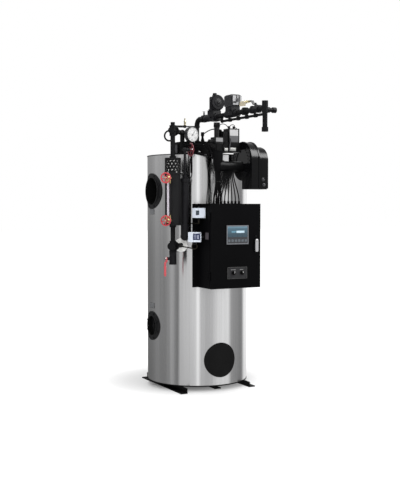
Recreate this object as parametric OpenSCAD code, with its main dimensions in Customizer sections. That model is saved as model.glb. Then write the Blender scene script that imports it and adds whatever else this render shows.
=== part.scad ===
// Vertical steam boiler with top burner, gas train, water column and control panel.
// Millimetres, +Z up, front towards -Y, origin on the floor under the boiler's axis.

/* [Shell] */
// Outside diameter of the stainless jacket
jacket_od = 770; // [700:5:840]
// Sheet thickness of the jacket
jacket_wall = 2; // [1:0.5:4]
// Height of the jacket
jacket_h = 1712; // [1600:1:1900]
// Thickness of the base plate
base_t = 8; // [5:1:14]
// Thickness of the top plate
deck_t = 6; // [4:1:12]
// How far both plates reach past the jacket
plate_lip = 2; // [1:0.5:5]
// Space for insulation between jacket and pressure vessel
insulation_t = 60; // [45:1:75]
// Plate thickness of the pressure vessel
vessel_wall = 12; // [8:1:16]

/* [Rails] */
// Height of the floor rails
rail_h = 40; // [30:1:60]
// Width of the rails' floor flange
rail_w = 52; // [44:1:70]
// Steel thickness of the rails
rail_t = 8; // [5:1:12]
// Distance of the outer rails' web from the axis
rail_x = 262; // [230:1:280]
// Length of the outer rails
rail_l = 716; // [640:2:800]
// Length of the middle rail
mid_rail_l = 608; // [500:2:660]
// Diameter of the anchor holes
anchor_d = 14; // [10:1:18]
// Distance of the anchor holes from the rail's end
anchor_inset = 34; // [20:1:40]

/* [Flue and cleaning openings] */
// Height of the flue axis below the deck
flue_drop = 273; // [250:1:320]
// Bore of the flue collar
flue_bore = 203; // [180:1:220]
// Wall of the flue collar
flue_wall = 8; // [5:1:12]
// Outside diameter of the flue trim ring
flue_ring_od = 270; // [255:1:290]
// Thickness of the trim rings and the front cover on the jacket
trim_t = 6; // [3:1:10]
// Height of the hand hole axis above the floor
hand_z = 470; // [400:1:600]
// Bore of the hand hole
hand_bore = 146; // [130:1:160]
// Outside diameter of the hand hole ring
hand_ring_od = 220; // [200:1:240]
// Depth of the hand hole cover below the jacket
hand_recess = 22; // [14:1:34]
// Thickness of the hand hole cover
hand_cover_t = 10; // [6:1:14]
// Height of the front cover's centre above the floor
cover_z = 234; // [200:1:300]
// Diameter of the front cover
cover_d = 258; // [220:1:280]

/* [Burner] */
// Diameter of the burner flange
burner_flange_d = 400; // [380:2:440]
// Thickness of the burner flange
burner_flange_t = 20; // [14:1:30]
// Diameter of the burner drum
burner_drum_d = 340; // [320:2:360]
// Height of the burner drum
burner_drum_h = 84; // [78:1:110]
// Width of the drum's clamp band
band_h = 22; // [14:1:28]
// How far the clamp band stands proud
band_t = 8; // [4:1:12]
// Height of the air duct
duct_h = 60; // [50:1:64]
// Centre distance of the blower in front of the jacket
blower_reach = 131; // [130:1:170]
// Radius of the blower scroll
blower_r = 138; // [126:1:138]
// Distance of the blower's left face from the boiler's middle plane
blower_x = 105; // [105:1:140]
// Width of the blower scroll
blower_w = 70; // [60:1:90]
// Depth of the blower housing below its axis
blower_leg = 206; // [190:1:230]
// Radius of the fan motor cover
motor_r = 106; // [96:1:120]
// Width of the fan motor cover
motor_w = 93; // [80:1:110]
// Width of the motor cover's drawn-in end
motor_cap_w = 14; // [10:1:20]
// How far that end draws in
motor_cap_step = 6; // [4:1:10]
// How far the blower's rims stand proud
rim_t = 4; // [2:0.5:4]
// Width of the blower's rims
rim_w = 10; // [6:1:16]
// Inner radius of the intake ring
intake_in_r = 80; // [76:1:86]
// Outer radius of the intake ring
intake_out_r = 128; // [118:1:130]
// Thickness of the intake ring
intake_t = 5; // [3:1:8]
// Diameter of the intake holes
intake_hole_d = 13; // [8:1:14]
// Holes on each intake circle
intake_count = 24; // [18:1:28]
// Distance of the ignition electrode right of the axis
electrode_x = 48; // [40:1:60]
// Diameter of the ignition electrode
electrode_d = 18; // [12:1:20]
// Height of the ignition electrode
electrode_h = 84; // [74:1:95]
// Diameter of the electrode's rubber boot
boot_d = 26; // [22:1:32]
// Height of the electrode's rubber boot
boot_h = 30; // [24:1:40]
// Diameter of the two struts beside the electrode
strut_d = 10; // [8:1:14]
// Spread of the struts on the drum
strut_spread = 34; // [28:1:44]

/* [Burner controls] */
// Width of the relay box
relay_w = 144; // [120:1:150]
// Depth of the burner controls, front to back
relay_d = 100; // [90:1:110]
// Height of the relay box
relay_h = 70; // [60:1:74]
// Gap between the burner controls and the jacket
relay_gap = 15; // [12:1:30]
// Width of the air switch
air_switch_w = 60; // [50:1:70]
// Height of the air switch
air_switch_h = 108; // [100:1:120]
// Diameter of the flame scanner
scanner_d = 46; // [36:1:50]
// Height of the flame scanner
scanner_h = 106; // [90:1:120]
// Width of the ignition transformer
transformer_w = 85; // [70:1:96]
// Depth of the ignition transformer
transformer_d = 88; // [70:1:90]
// Height of the ignition transformer
transformer_h = 103; // [90:1:120]
// Distance of the transformer from the relay box's right end
transformer_inset = 8; // [4:1:30]
// Diameter of the transformer's terminals
terminal_d = 18; // [12:1:22]
// Height of the transformer's terminals
terminal_h = 20; // [12:1:28]
// Distance of the terminals from the transformer's middle
terminal_off = 20; // [14:1:28]
// Width of the relay's plug-in block
block_w = 38; // [30:1:44]
// Height of the relay's plug-in block
block_h = 80; // [60:1:90]
// Diameter of the cable trunk under the burner controls
trunk_d = 72; // [60:1:76]
// Length of the cable trunk
trunk_l = 150; // [140:1:170]
// Depth of the trunk's axis below the deck
trunk_drop = 96; // [90:1:110]
// Length of the hub at the trunk's left end
hub_l = 52; // [40:1:60]
// Diameter of the hub
hub_d = 84; // [78:1:92]
// Diameter of the control conduits
conduit_d = 9; // [6:1:10]
// Number of control conduits
conduit_count = 8; // [5:1:9]
// Pitch of the conduits on the trunk
conduit_pitch = 11; // [11:0.5:14]
// Pitch of the cable glands on the panel
gland_pitch = 30; // [22:1:32]
// Diameter of the cable glands
gland_d = 18; // [14:1:20]
// Height of the cable glands
gland_h = 14; // [10:1:20]

/* [Gas train] */
// Height of the gas train's axis above the deck
train_rise = 279; // [270:1:320]
// Outside diameter of the gas pipe
gas_od = 34; // [27:1:42]
// Radius of the elbow over the burner
elbow_r = 44; // [36:1:60]
// Distance of the union from the boiler's axis
union_at = 117; // [105:1:125]
// Width of the unions over their flats
union_af = 52; // [46:1:56]
// Length of the unions
union_l = 30; // [24:1:34]
// How far the fittings' collars stand proud
collar_t = 5; // [3:0.5:6]
// Length of the fittings' collars
collar_l = 14; // [10:1:18]
// Distance of the regulating valve's centre from the axis
reg_at = 250; // [240:1:255]
// Length of the regulating valve
reg_l = 186; // [160:1:196]
// Radius of the valve bodies
valve_r = 27; // [22:1:28]
// Length of the valves' hexagon ends
valve_end = 24; // [18:1:28]
// Width of the valves' hexagon ends over their flats
valve_af = 52; // [44:1:56]
// Height of the regulating valve's bonnet above the pipe
bonnet_h = 43; // [40:1:48]
// Width of the regulator's block
reg_block_w = 65; // [56:1:76]
// Length of the regulator's block
reg_block_l = 50; // [44:1:58]
// How far the regulator's face lies in front of the valve's middle
reg_lead = 65; // [60:1:70]
// Height of the regulator's block
reg_block_h = 102; // [90:1:110]
// Diameter of the regulator disc
reg_disc_d = 118; // [90:1:124]
// Height of the regulator disc's centre above the pipe
reg_disc_rise = 102; // [94:1:110]
// Thickness of the regulator disc
reg_disc_t = 30; // [20:1:36]
// How far the disc's cover stands back from its rim
reg_rim = 9; // [5:1:14]
// Thickness of the disc's rim
reg_rim_t = 16; // [10:1:18]
// Diameter of the regulator's adjusting knob
knob_d = 28; // [22:1:34]
// Height of the knob's top above the disc's centre
knob_rise = 74; // [68:1:80]
// Distance of the shutoff valve's centre from the axis
ssv_at = 560; // [540:1:580]
// Length of the shutoff valve
ssv_l = 160; // [140:1:180]
// Width of the shutoff actuator
act_w = 76; // [60:1:90]
// Length of the shutoff actuator
act_l = 105; // [90:1:120]
// Height of the shutoff actuator
act_h = 77; // [60:1:90]
// Height of the actuator's neck over the valve body
act_neck = 24; // [16:1:36]
// Number of ribs on each side of the actuator
act_ribs = 7; // [5:1:9]
// How far the actuator's ribs stand proud
act_rib_t = 4; // [2:1:6]
// Thickness of the actuator's front cover
act_cover_t = 14; // [8:1:18]
// Edge that the front cover leaves free
act_cover_edge = 7; // [4:1:12]
// Diameter of the actuator's knob
act_knob_d = 24; // [18:1:30]
// Length of the actuator's knob
act_knob_l = 10; // [6:1:14]
// Distance of the gas cock from the axis
cock_at = 885; // [875:1:890]
// Length of the gas cock
cock_l = 94; // [80:1:100]
// Length of the gas cock's lever
cock_lever_l = 188; // [140:1:200]
// Length of the lever's grip
grip_l = 96; // [80:1:110]
// Width of the lever's grip
grip_w = 28; // [24:1:34]
// Thickness of the lever's grip
grip_t = 13; // [10:1:16]
// How far the lever steps up
lever_rise = 30; // [24:1:36]
// Distance of the drip leg from the axis
drip_at = 1007; // [995:1:1030]
// Height of the drip tee
tee_h = 82; // [74:1:96]
// Height of the tee's open end above the gas pipe
tee_up = 47; // [44:1:52]
// Outside diameter of the drip tee
tee_od = 42; // [42:1:48]
// Bore of the gas inlet
inlet_bore = 33; // [25:1:34]
// Depth of the gas inlet bore
inlet_depth = 34; // [20:1:36]
// Length of the drip nipple
drip_l = 96; // [70:1:130]
// Diameter of the drip cap
drip_cap_d = 45; // [40:1:52]
// Height of the drip cap
drip_cap_h = 30; // [20:1:40]
// Length of the tee's side plug
plug_l = 63; // [50:1:80]
// Diameter of the tee's side plug
plug_d = 28; // [20:1:30]
// Length of the side plug's cap
plug_cap_l = 26; // [18:1:32]
// Outside diameter of the pilot line
pilot_d = 18; // [12:1:20]
// Depth of the pilot line below the gas pipe
pilot_drop = 42; // [41:1:46]
// Distance of the pilot line's inner end from the axis
pilot_start = 405; // [385:1:430]
// Diameter of the pilot line's couplings
pilot_nut_d = 26; // [22:1:28]
// Length of the pilot line's couplings
pilot_nut_l = 26; // [18:1:32]
// Pitch of the pilot line's couplings
pilot_pitch = 120; // [100:1:130]

/* [Water column] */
// Angle of the water column from the front, towards the left
column_angle = 45; // [43:1:47]
// Distance of the column's axis from the jacket
column_reach = 181; // [170:1:200]
// Outside diameter of the column
column_od = 114; // [102:1:118]
// Height of the column
column_h = 377; // [360:1:400]
// Depth of the column's top below the deck
column_drop = 147; // [140:1:160]
// How far the column's end flanges stand proud
flange_lip = 6; // [4:1:8]
// Thickness of the column's end flanges
flange_t = 12; // [8:1:16]
// Height of the probe guard
guard_h = 106; // [90:1:120]
// Wall of the probe guard
guard_wall = 2; // [1.5:0.5:4]
// Diameter of the probe guard's holes
guard_hole_d = 12; // [8:1:14]
// Holes in each ring of the probe guard
guard_holes = 14; // [10:1:16]
// Rings of holes in the probe guard
guard_rows = 4; // [3:1:5]
// Outside diameter of the trim pipes
trim_pipe_d = 34; // [27:1:38]
// Height of the steam cross above the deck
cross_rise = 154; // [130:1:180]
// Distance of the header's drop pipe inside the jacket
header_inset = 31; // [30:1:50]
// Height of the capped end above the steam cross
cap_rise = 60; // [52:1:80]
// Diameter of the bent vent tube beside the steam cross
vent_d = 12; // [8:1:14]
// Radius of the vent tube's bend
vent_r = 36; // [30:1:42]
// Distance of the vent tube's bend from the pipe
vent_out = 26; // [22:1:40]
// Diameter of the sensing line's thick half
sense_d = 16; // [12:1:18]
// Diameter of the sensing line's thin half
sense_thin_d = 9; // [7:1:10]
// Depth of the sensing line's inner end below the gas pipe
sense_drop = 51; // [48:1:54]
// Height of the sensing line's outer end above the steam cross
sense_rise = 30; // [26:1:34]
// Diameter of the vent valve's body
vent_valve_d = 20; // [18:1:26]
// Height of the vent valve
vent_valve_h = 50; // [44:1:60]
// Depth of the water cross below the deck
water_drop = 674; // [650:1:690]
// Diameter of the escutcheon on the jacket
escutcheon_d = 100; // [90:1:110]
// Depth of the blowdown valve below the deck
blowdown_drop = 763; // [755:1:790]
// Height of the blowdown valve's body
blowdown_h = 86; // [76:1:96]
// Bore of the blowdown valve
blowdown_bore = 25; // [18:1:28]
// Length of the blowdown lever
blowdown_lever_l = 126; // [100:1:150]
// How far the blowdown lever bends outwards
lever_jog = 10; // [6:1:16]
// Length of the water cross's front plug
cross_plug_l = 38; // [32:1:44]

/* [Gauge glass] */
// Distance of the glass from the column's axis
glass_off = 100; // [94:1:110]
// Outside diameter of the glass
glass_d = 16; // [12:1:18]
// Depth of the upper gauge valve below the deck
glass_top_drop = 187; // [182:1:200]
// Distance between the gauge valves
glass_span = 301; // [280:1:306]
// Diameter of the gauge valves' wheels
gauge_wheel_d = 78; // [60:1:82]
// Distance of the wheels from the glass
gauge_wheel_off = 50; // [46:1:64]
// Radius of the gauge valves' arms
gauge_arm_r = 11; // [9:0.5:12]
// Radius of the gauge valves' bodies
gauge_ball_r = 18; // [16:0.5:20]
// Width of the packing nuts over their flats
packing_af = 26; // [22:1:30]
// Length of the packing sockets that hold the glass
packing_l = 34; // [28:1:40]
// Length of the bonnets under the wheels
gauge_bonnet_l = 30; // [24:1:34]
// Radius of the gauge valves' stems
gauge_stem_r = 4; // [3:0.5:5]
// Diameter of the glass's guard rods
guard_rod_d = 5; // [4:0.5:6]
// Distance of the guard rods from the glass's axis
guard_rod_off = 17; // [16:0.5:20]
// Thickness of the handwheels' rims
wheel_rim_d = 10; // [8:1:12]
// Length of the handwheels' hubs
wheel_hub_l = 12; // [10:1:16]

/* [Feed pipe and gauge] */
// Angle of the feed pipe from the front, towards the left
feed_angle = 38; // [37:1:39]
// Distance of the feed pipe's axis from the jacket
feed_reach = 85; // [80:1:95]
// Outside diameter of the feed pipe
feed_od = 60; // [50:1:62]
// Depth of the feed elbow's axis below the deck
feed_drop = 605; // [600:1:612]
// Height of the feed valve's axis above the deck
feed_valve_rise = 23; // [20:1:40]
// Diameter of the feed valve's wheel
feed_wheel_d = 100; // [80:1:106]
// Distance of the feed wheel from the pipe's axis
feed_wheel_off = 48; // [46:1:54]
// Radius of the feed valve's stem
feed_stem_r = 8; // [6:0.5:9]
// Depth of the feed pipe's flange below the deck
clamp_drop = 198; // [180:1:220]
// Height of the feed pipe's flange
clamp_h = 24; // [18:1:30]
// Step of the feed pipe's flange and thickness of its stay
clamp_t = 5; // [4:1:8]
// Angle of the pressure gauge from the front, towards the left
gauge_angle = 33.7; // [32:0.1:36]
// Distance of the gauge's stem inside the jacket
gauge_inset = 25; // [20:1:40]
// Diameter of the pressure gauge
gauge_d = 120; // [100:1:126]
// Depth of the pressure gauge's case
gauge_t = 34; // [26:1:36]
// Height of the gauge's centre above the deck
gauge_rise = 140; // [130:1:160]
// Turn of the gauge's face towards the right
gauge_turn = 14; // [0:1:20]
// Width of the gauge's bezel
bezel_w = 7; // [5:1:9]
// Thickness of the gauge's bezel
bezel_t = 12; // [8:1:14]
// How far the gauge's case draws in behind the bezel
bezel_step = 4; // [2:1:5]
// Depth of the dial below the bezel
dial_depth = 5; // [3:1:6]
// Radius of the gauge's stem
gauge_stem = 7; // [6:0.5:9]
// Radius of the siphon's coil under the gauge
siphon_r = 15; // [12:1:18]
// Height of the siphon's coil above the deck
siphon_rise = 34; // [28:1:40]
// Angle of the junction box from the front, towards the left
junction_angle = 54; // [52:1:58]
// Distance of the junction box inside the jacket
junction_inset = 48; // [40:1:60]
// Width of the junction box
junction_w = 40; // [30:1:44]
// Height of the junction box
junction_h = 74; // [60:1:90]

/* [Control panel] */
// Width of the control panel
panel_w = 406; // [380:1:420]
// Height of the control panel
panel_h = 608; // [560:1:640]
// Depth of the panel's case behind the door
panel_d = 178; // [160:1:200]
// Sheet thickness of the panel's case
panel_wall = 3; // [2:0.5:4]
// Thickness of the panel door
door_t = 18; // [14:1:24]
// Gap between the door and the case
door_gap = 5; // [5:0.5:8]
// Depth of the panel's top below the deck
panel_drop = 369; // [360:1:380]
// Gap between the jacket and the panel's back plate
standoff = 24; // [20:1:40]
// Thickness of the back plate
back_t = 6; // [4:1:8]
// How far the back plate reaches past the case on each side
back_lip = 46; // [30:1:60]
// Distance of the hinge pins from the door's edge
hinge_off = 8; // [8:0.5:12]
// Diameter of the hinge pins
hinge_pin_d = 6; // [4:0.5:6]
// Length of one hinge knuckle
knuckle_l = 30; // [20:1:40]
// Distance of the hinges from the door's ends
hinge_inset = 90; // [70:1:140]
// Width of the touch screen
screen_w = 180; // [150:1:200]
// Height of the touch screen
screen_h = 136; // [110:1:150]
// How far the touch screen stands proud of the door
screen_t = 7; // [4:1:10]
// Width of the touch screen's frame
screen_edge = 7; // [5:1:14]
// Depth of the touch screen's pane
pane_depth = 2; // [1:0.5:3]
// Height of the touch screen's centre over the panel's bottom
screen_z = 385; // [370:1:400]
// Distance of the screen and switches right of the door's middle
screen_x = 9; // [0:1:20]
// Width of the switch plate
switch_w = 160; // [140:1:180]
// Height of the switch plate
switch_h = 84; // [70:1:100]
// Thickness of the switch plate
switch_t = 4; // [3:1:6]
// Height of the switch plate's centre over the panel's bottom
switch_z = 111; // [100:1:130]
// Distance between the two selectors
selector_pitch = 70; // [60:1:80]
// Diameter of the selectors
selector_d = 28; // [22:1:32]
// Length of the selectors
selector_l = 22; // [16:1:26]
// Thickness of the selectors' round base
selector_base = 7; // [5:1:9]
// Width of the selectors' grip
selector_grip = 10; // [8:1:14]
// Distance of the handle from the door's right edge
handle_inset = 40; // [34:1:60]
// Length of the handle
handle_l = 95; // [80:1:110]
// Width of the handle
handle_w = 25; // [20:1:28]
// Thickness of the handle
handle_t = 13; // [10:1:15]
// Height of the handle's centre over the panel's bottom
handle_z = 307; // [290:1:320]

/* [Pressure controls] */
// Width of a pressure control
control_w = 66; // [60:1:70]
// Depth of a pressure control
control_d = 76; // [66:1:80]
// Height of a pressure control
control_h = 70; // [64:1:80]
// Depth of the upper control's top below the panel's top
control_upper = 31; // [24:1:40]
// Depth of the lower control's top below the panel's top
control_lower = 203; // [190:1:215]
// Length of the upper control's conduit nipple
control_upper_gap = 8; // [6:1:14]
// Length of the lower control's conduit nipple
control_lower_gap = 42; // [36:1:46]
// Width of the upper control's window
window_w = 22; // [14:1:28]
// Height of the upper control's window
window_h = 30; // [18:1:34]
// Width of the lower control's window
window_low_w = 52; // [40:1:56]
// Height of the lower control's window
window_low_h = 38; // [30:1:44]
// Distance of the upper control's window left of its middle
window_shift = 16; // [0:1:18]
// Depth of a pressure control's window
window_depth = 3; // [2:0.5:5]
// Diameter of a pressure control's adjusting screw
adjuster_d = 14; // [10:1:18]
// Height of a pressure control's adjusting screw
adjuster_h = 10; // [6:1:14]
// Diameter of the pressure tubes
tube_d = 9; // [7:1:10]

/* [Steam outlet] */
// Distance of the steam outlet's axis inside the jacket
steam_inset = 100; // [90:1:110]
// Bore of the steam outlet
steam_bore = 52; // [40:1:56]
// Wall of the steam outlet
steam_wall = 4; // [3:0.5:6]
// Height of the steam outlet
steam_h = 80; // [60:1:100]
// Diameter of the steam outlet's flange
steam_flange_d = 152; // [140:1:156]
// Thickness of the steam outlet's flange
steam_flange_t = 16; // [10:1:20]
// Bolt circle of the steam outlet's flange
steam_pcd = 121; // [116:1:124]
// Diameter of the flange's bolt holes
steam_bolt_d = 19; // [14:1:20]

/* [Hidden] */
$fn = 64;
// Facets of the widest circles
wide_fn = 128;
// Clearance where a curved piece seats on another
seat = 0.2;
// Clearance round a turning pin
pin_gap = 0.3;
// Gap between a turning knob or handle and the face that it sits on
turn_gap = 0.5;
// Overshoot of a cut past the face that it opens
cut = 1;
// Radius of the valve stems that carry a lever
stem_r = 6;
// Thickness and half width of the flat valve levers
lever_t = 5;
lever_half = 11;
// Radius of the conduit nipples and brass fittings on the pressure controls
nipple_r = 10;
jacket_r = jacket_od / 2;
vessel_r = jacket_r - jacket_wall - insulation_t;
base_top = rail_h + base_t;
jacket_top = base_top + jacket_h;
deck = jacket_top + deck_t;
flue_z = deck - flue_drop;
anchor_x = rail_x + (rail_w + rail_t) / 2;
burner_top = deck + burner_flange_t + burner_drum_h;
drum_r = burner_drum_d / 2;
blower_y = -(jacket_r + blower_reach);
duct_z = deck + burner_flange_t;
duct_inset = 4;
duct_x = blower_x + duct_inset;
duct_w = blower_w - 2 * duct_inset;
blower_z = duct_z + duct_h - blower_r;
blower_back = blower_y + blower_r;
relay_back = -(jacket_r + relay_gap);
relay_front = relay_back - relay_d;
relay_x1 = blower_x - intake_t - seat;
relay_x0 = relay_x1 - relay_w;
relay_z = deck + deck_t;
trunk_z = deck - trunk_drop;
trunk_x0 = blower_x - trunk_l;
electrode_r = electrode_d / 2;
strut_r = strut_d / 2;
train_z = deck + train_rise;
gas_r = gas_od / 2;
tee_r = tee_od / 2;
tee_top = train_z + tee_up;
tee_low = tee_top - tee_h;
column_r = jacket_r + column_reach;
column_top = deck - column_drop;
column_bottom = column_top - column_h;
guard_top = column_top + guard_h;
trim_r = trim_pipe_d / 2;
fitting_r = trim_r * 1.4;
cross_z = deck + cross_rise;
water_z = deck - water_drop;
blowdown_z = deck - blowdown_drop;
header_r = jacket_r - header_inset;
glass_hi = deck - glass_top_drop;
glass_lo = glass_hi - glass_span;
glass_seat = 10;
feed_r = jacket_r + feed_reach;
feed_z = deck - feed_drop;
feed_valve_z = deck + feed_valve_rise;
gauge_r = jacket_r - gauge_inset;
gauge_z = deck + gauge_rise;
panel_top = deck - panel_drop;
panel_z = panel_top - panel_h;
back_y = -(jacket_r + standoff);
case_back = back_y - back_t;
case_front = case_back - panel_d;
case_mid = (case_back + case_front) / 2;
door_back = case_front - door_gap;
door_front = door_back - door_t;
hinge_x = -panel_w / 2 - hinge_off;
hinge_y = door_back - door_t / 2;
hinge_heights = [panel_z + hinge_inset, panel_top - hinge_inset];
knuckle_r = hinge_off - 2.5;
leaf_t = 4;
leaf_l = 40;
steam_y = jacket_r - steam_inset;
// Share of a knuckle's length that each fixed knuckle takes
knuckle_share = 0.48;
// Gap between two knuckles as a share of a knuckle's length
knuckle_gap = 0.04;
// Radius of the gas cock's body, and how far its lever lies above it
cock_r = valve_r - 3;
lever_lift = 8;
// Half the width of the regulating valve's body
bonnet_half = valve_r + collar_t;
sense_out = place(column_angle, column_r, cross_z + sense_rise);
sense_in = place(column_angle, gas_r + collar_t + seat, train_z - sense_drop);
sense_mid = (sense_out + sense_in) / 2;
// Depth below the panel's top, length of the nipple, and width, height and shift of the window
control_places = [[control_upper, control_upper_gap, window_w, window_h, window_shift],
    [control_lower, control_lower_gap, window_low_w, window_low_h, 0]];

// A cylinder along X between two places
module bar_x(r, x0, x1) {
    translate([x0, 0, 0]) rotate([0, 90, 0]) cylinder(r = r, h = x1 - x0);
}

// A cylinder along Y between two places
module bar_y(r, y0, y1) {
    translate([0, y0, 0]) rotate([-90, 0, 0]) cylinder(r = r, h = y1 - y0);
}

// A cylinder between two points
module bar(a, b, r) {
    d = b - a;
    translate(a) rotate([0, acos(d[2] / norm(d)), atan2(d[1], d[0])]) cylinder(r = r, h = norm(d));
}

// A hexagon along Y between two places, measured over its flats
module hex_y(af, y0, y1) {
    translate([0, y0, 0]) rotate([-90, 0, 0]) cylinder(d = af / cos(30), h = y1 - y0, $fn = 6);
}

// An upright hexagon, measured over its flats
module hex_z(af, h) {
    cylinder(d = af / cos(30), h = h, $fn = 6);
}

// A place at an angle from the front towards the left
function place(angle, r, z) = [-r * sin(angle), -r * cos(angle), z];

// Children at such a place, local +X pointing outwards
module polar(angle, r) {
    rotate([0, 0, 270 - angle]) translate([r, 0, 0]) children();
}

// What children share with a thin layer that lies on the jacket
module on_jacket(t) {
    intersection() {
        children();
        difference() {
            cylinder(r = jacket_r + t, h = deck, $fn = wide_fn);
            translate([0, 0, -cut]) cylinder(r = jacket_r + seat, h = deck + 2 * cut, $fn = wide_fn);
        }
    }
}

// A spoked handwheel in the XY plane, its hub bored for the stem
module handwheel(d, bore_r) {
    rim_r = wheel_rim_d / 2;
    ring_r = d / 2 - rim_r;
    spokes = 5;
    difference() {
        union() {
            rotate_extrude() translate([ring_r, 0]) circle(r = rim_r);
            translate([0, 0, -wheel_hub_l / 2]) cylinder(r = bore_r + rim_r, h = wheel_hub_l);
            for (i = [0 : spokes - 1]) rotate([0, 0, i * 360 / spokes]) bar_x(rim_r * 0.7, 0, ring_r);
        }
        translate([0, 0, -wheel_hub_l]) cylinder(r = bore_r + pin_gap, h = wheel_hub_l * 2);
    }
}

// Points of a double curve from one level to another, upright at both ends
function sway(a, b, n) = [for (i = [0 : n])
    let (t = i / n, e = (1 - cos(180 * t)) / 2)
    [a[0] + (b[0] - a[0]) * e, a[1] + (b[1] - a[1]) * e, a[2] + (b[2] - a[2]) * t]];

// The direction of a path at one of its points
function heading(path, i) =
    let (d = path[min(i + 1, len(path) - 1)] - path[max(i - 1, 0)]) d / norm(d);

// A ring of points round a path's point, square to a direction
function ring_at(p, d, r, sides) =
    let (u = cross(d, abs(d[2]) < 0.9 ? [0, 0, 1] : [0, 1, 0]), v = u / norm(u), w = cross(d, v))
    [for (k = [0 : sides - 1]) let (a = 360 * k / sides) p + r * (cos(a) * v + sin(a) * w)];

// The rings of points joined into one closed tube
module skin_rings(rings) {
    n = len(rings);
    s = len(rings[0]);
    walls = [for (i = [0 : n - 2]) for (k = [0 : s - 1]) let (m = (k + 1) % s)
        [i * s + k, i * s + m, (i + 1) * s + m, (i + 1) * s + k]];
    first = [for (k = [0 : s - 1]) s - 1 - k];
    last = [for (k = [0 : s - 1]) (n - 1) * s + k];
    polyhedron([for (ring = rings) each ring], concat([first], walls, [last]));
}

module outer_jacket() {
    color("silver") difference() {
        translate([0, 0, base_top]) cylinder(r = jacket_r, h = jacket_h, $fn = wide_fn);
        translate([0, 0, base_top - cut])
            cylinder(r = jacket_r - jacket_wall, h = jacket_h + 2 * cut, $fn = wide_fn);
        translate([0, 0, flue_z]) bar_x(flue_bore / 2 + flue_wall + seat, -jacket_od, 0);
        translate([0, 0, hand_z]) bar_x(hand_bore / 2 + flue_wall + seat, -jacket_od, 0);
        polar(column_angle, 0) translate([0, 0, water_z]) bar_x(trim_r + seat, 0, jacket_od);
        polar(feed_angle, 0) translate([0, 0, feed_z]) bar_x(feed_od / 2 + seat, 0, jacket_od);
    }
}

module top_plate() {
    color("dimgray") translate([0, 0, jacket_top])
        cylinder(r = jacket_r + plate_lip, h = deck_t, $fn = wide_fn);
}

module base_plate() {
    color("black") translate([0, 0, rail_h])
        cylinder(r = jacket_r + plate_lip, h = base_t, $fn = wide_fn);
}

// An angle rail along Y, its web on the YZ plane and its floor flange towards +X
module rail(l) {
    translate([0, -l / 2, 0]) {
        cube([rail_t, l, rail_h]);
        cube([rail_w, l, rail_t]);
    }
}

module floor_rails() {
    color("black") {
        translate([-rail_t / 2, 0, 0]) rail(mid_rail_l);
        for (side = [0, 1]) mirror([side, 0, 0]) difference() {
            translate([rail_x, 0, 0]) rail(rail_l);
            for (end = [-1, 1]) translate([anchor_x, end * (rail_l / 2 - anchor_inset), -cut])
                cylinder(d = anchor_d, h = rail_t + 2 * cut);
        }
    }
}

module pressure_vessel() {
    color("dimgray") difference() {
        translate([0, 0, base_top]) cylinder(r = vessel_r, h = jacket_h, $fn = wide_fn);
        translate([0, 0, base_top + vessel_wall])
            cylinder(r = vessel_r - vessel_wall, h = jacket_h - 2 * vessel_wall, $fn = wide_fn);
        translate([0, 0, flue_z]) bar_x(flue_bore / 2 + flue_wall / 2, -jacket_r, 0);
        translate([0, 0, hand_z]) bar_x(hand_bore / 2 + flue_wall / 2, -jacket_r, 0);
    }
}

// A tube out of the vessel at a height, towards -X, with a ring that follows the jacket
module neck(z, bore, ring_od) {
    difference() {
        union() {
            translate([0, 0, z]) bar_x(bore / 2 + flue_wall, -jacket_r - trim_t, -vessel_r / 2);
            on_jacket(trim_t) translate([0, 0, z]) bar_x(ring_od / 2, -jacket_od, 0);
        }
        translate([0, 0, z]) bar_x(bore / 2, -jacket_od, 0);
        cylinder(r = vessel_r + seat, h = deck, $fn = wide_fn);
    }
}

module flue_collar() {
    color("dimgray") neck(flue_z, flue_bore, flue_ring_od);
}

module hand_hole_ring() {
    color("dimgray") neck(hand_z, hand_bore, hand_ring_od);
}

module hand_hole_cover() {
    face = -jacket_r + hand_recess;
    color("black") translate([0, 0, hand_z]) {
        bar_x(hand_bore / 2 - seat, face, face + hand_cover_t);
        bar_x(hand_bore / 8, face - hand_cover_t, face + cut);
        translate([face - hand_cover_t / 2, -hand_bore / 12, -hand_bore * 0.4])
            cube([hand_cover_t, hand_bore / 6, hand_bore * 0.8]);
    }
}

module front_cover() {
    color("black") on_jacket(trim_t) translate([0, 0, cover_z]) bar_y(cover_d / 2, -jacket_od, 0);
}

module burner_drum() {
    top = burner_flange_t + burner_drum_h;
    tip = [electrode_x, 0, top + electrode_h - boot_h];
    color("black") translate([0, 0, deck]) {
        cylinder(d = burner_flange_d, h = burner_flange_t, $fn = wide_fn);
        cylinder(r = drum_r, h = top, $fn = wide_fn);
        translate([0, 0, top - band_h]) cylinder(r = drum_r + band_t, h = band_h, $fn = wide_fn);
        translate([electrode_x, 0, top]) cylinder(r = electrode_r, h = electrode_h);
        translate([electrode_x, 0, top + electrode_h - boot_h]) cylinder(d = boot_d, h = boot_h);
        for (side = [-1, 1]) bar([electrode_x, side * strut_spread, top - strut_r], tip, strut_r);
    }
}

module air_duct() {
    color("black") difference() {
        translate([0, 0, duct_z]) linear_extrude(duct_h) polygon([
            [duct_x, blower_back], [duct_x + duct_w, blower_back],
            [duct_x + duct_w, blower_back + duct_w / 2], [drum_r * 0.9, 0],
            [0, -drum_r * 0.7], [duct_x, blower_back + duct_w / 4]]);
        translate([0, 0, deck]) cylinder(r = drum_r + seat, h = deck, $fn = wide_fn);
    }
}

// The blower seen along its axis: a round drum over a straight front leg
module arch(r, leg) {
    circle(r = r, $fn = wide_fn);
    translate([-r, -leg]) square([r, leg]);
}

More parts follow.
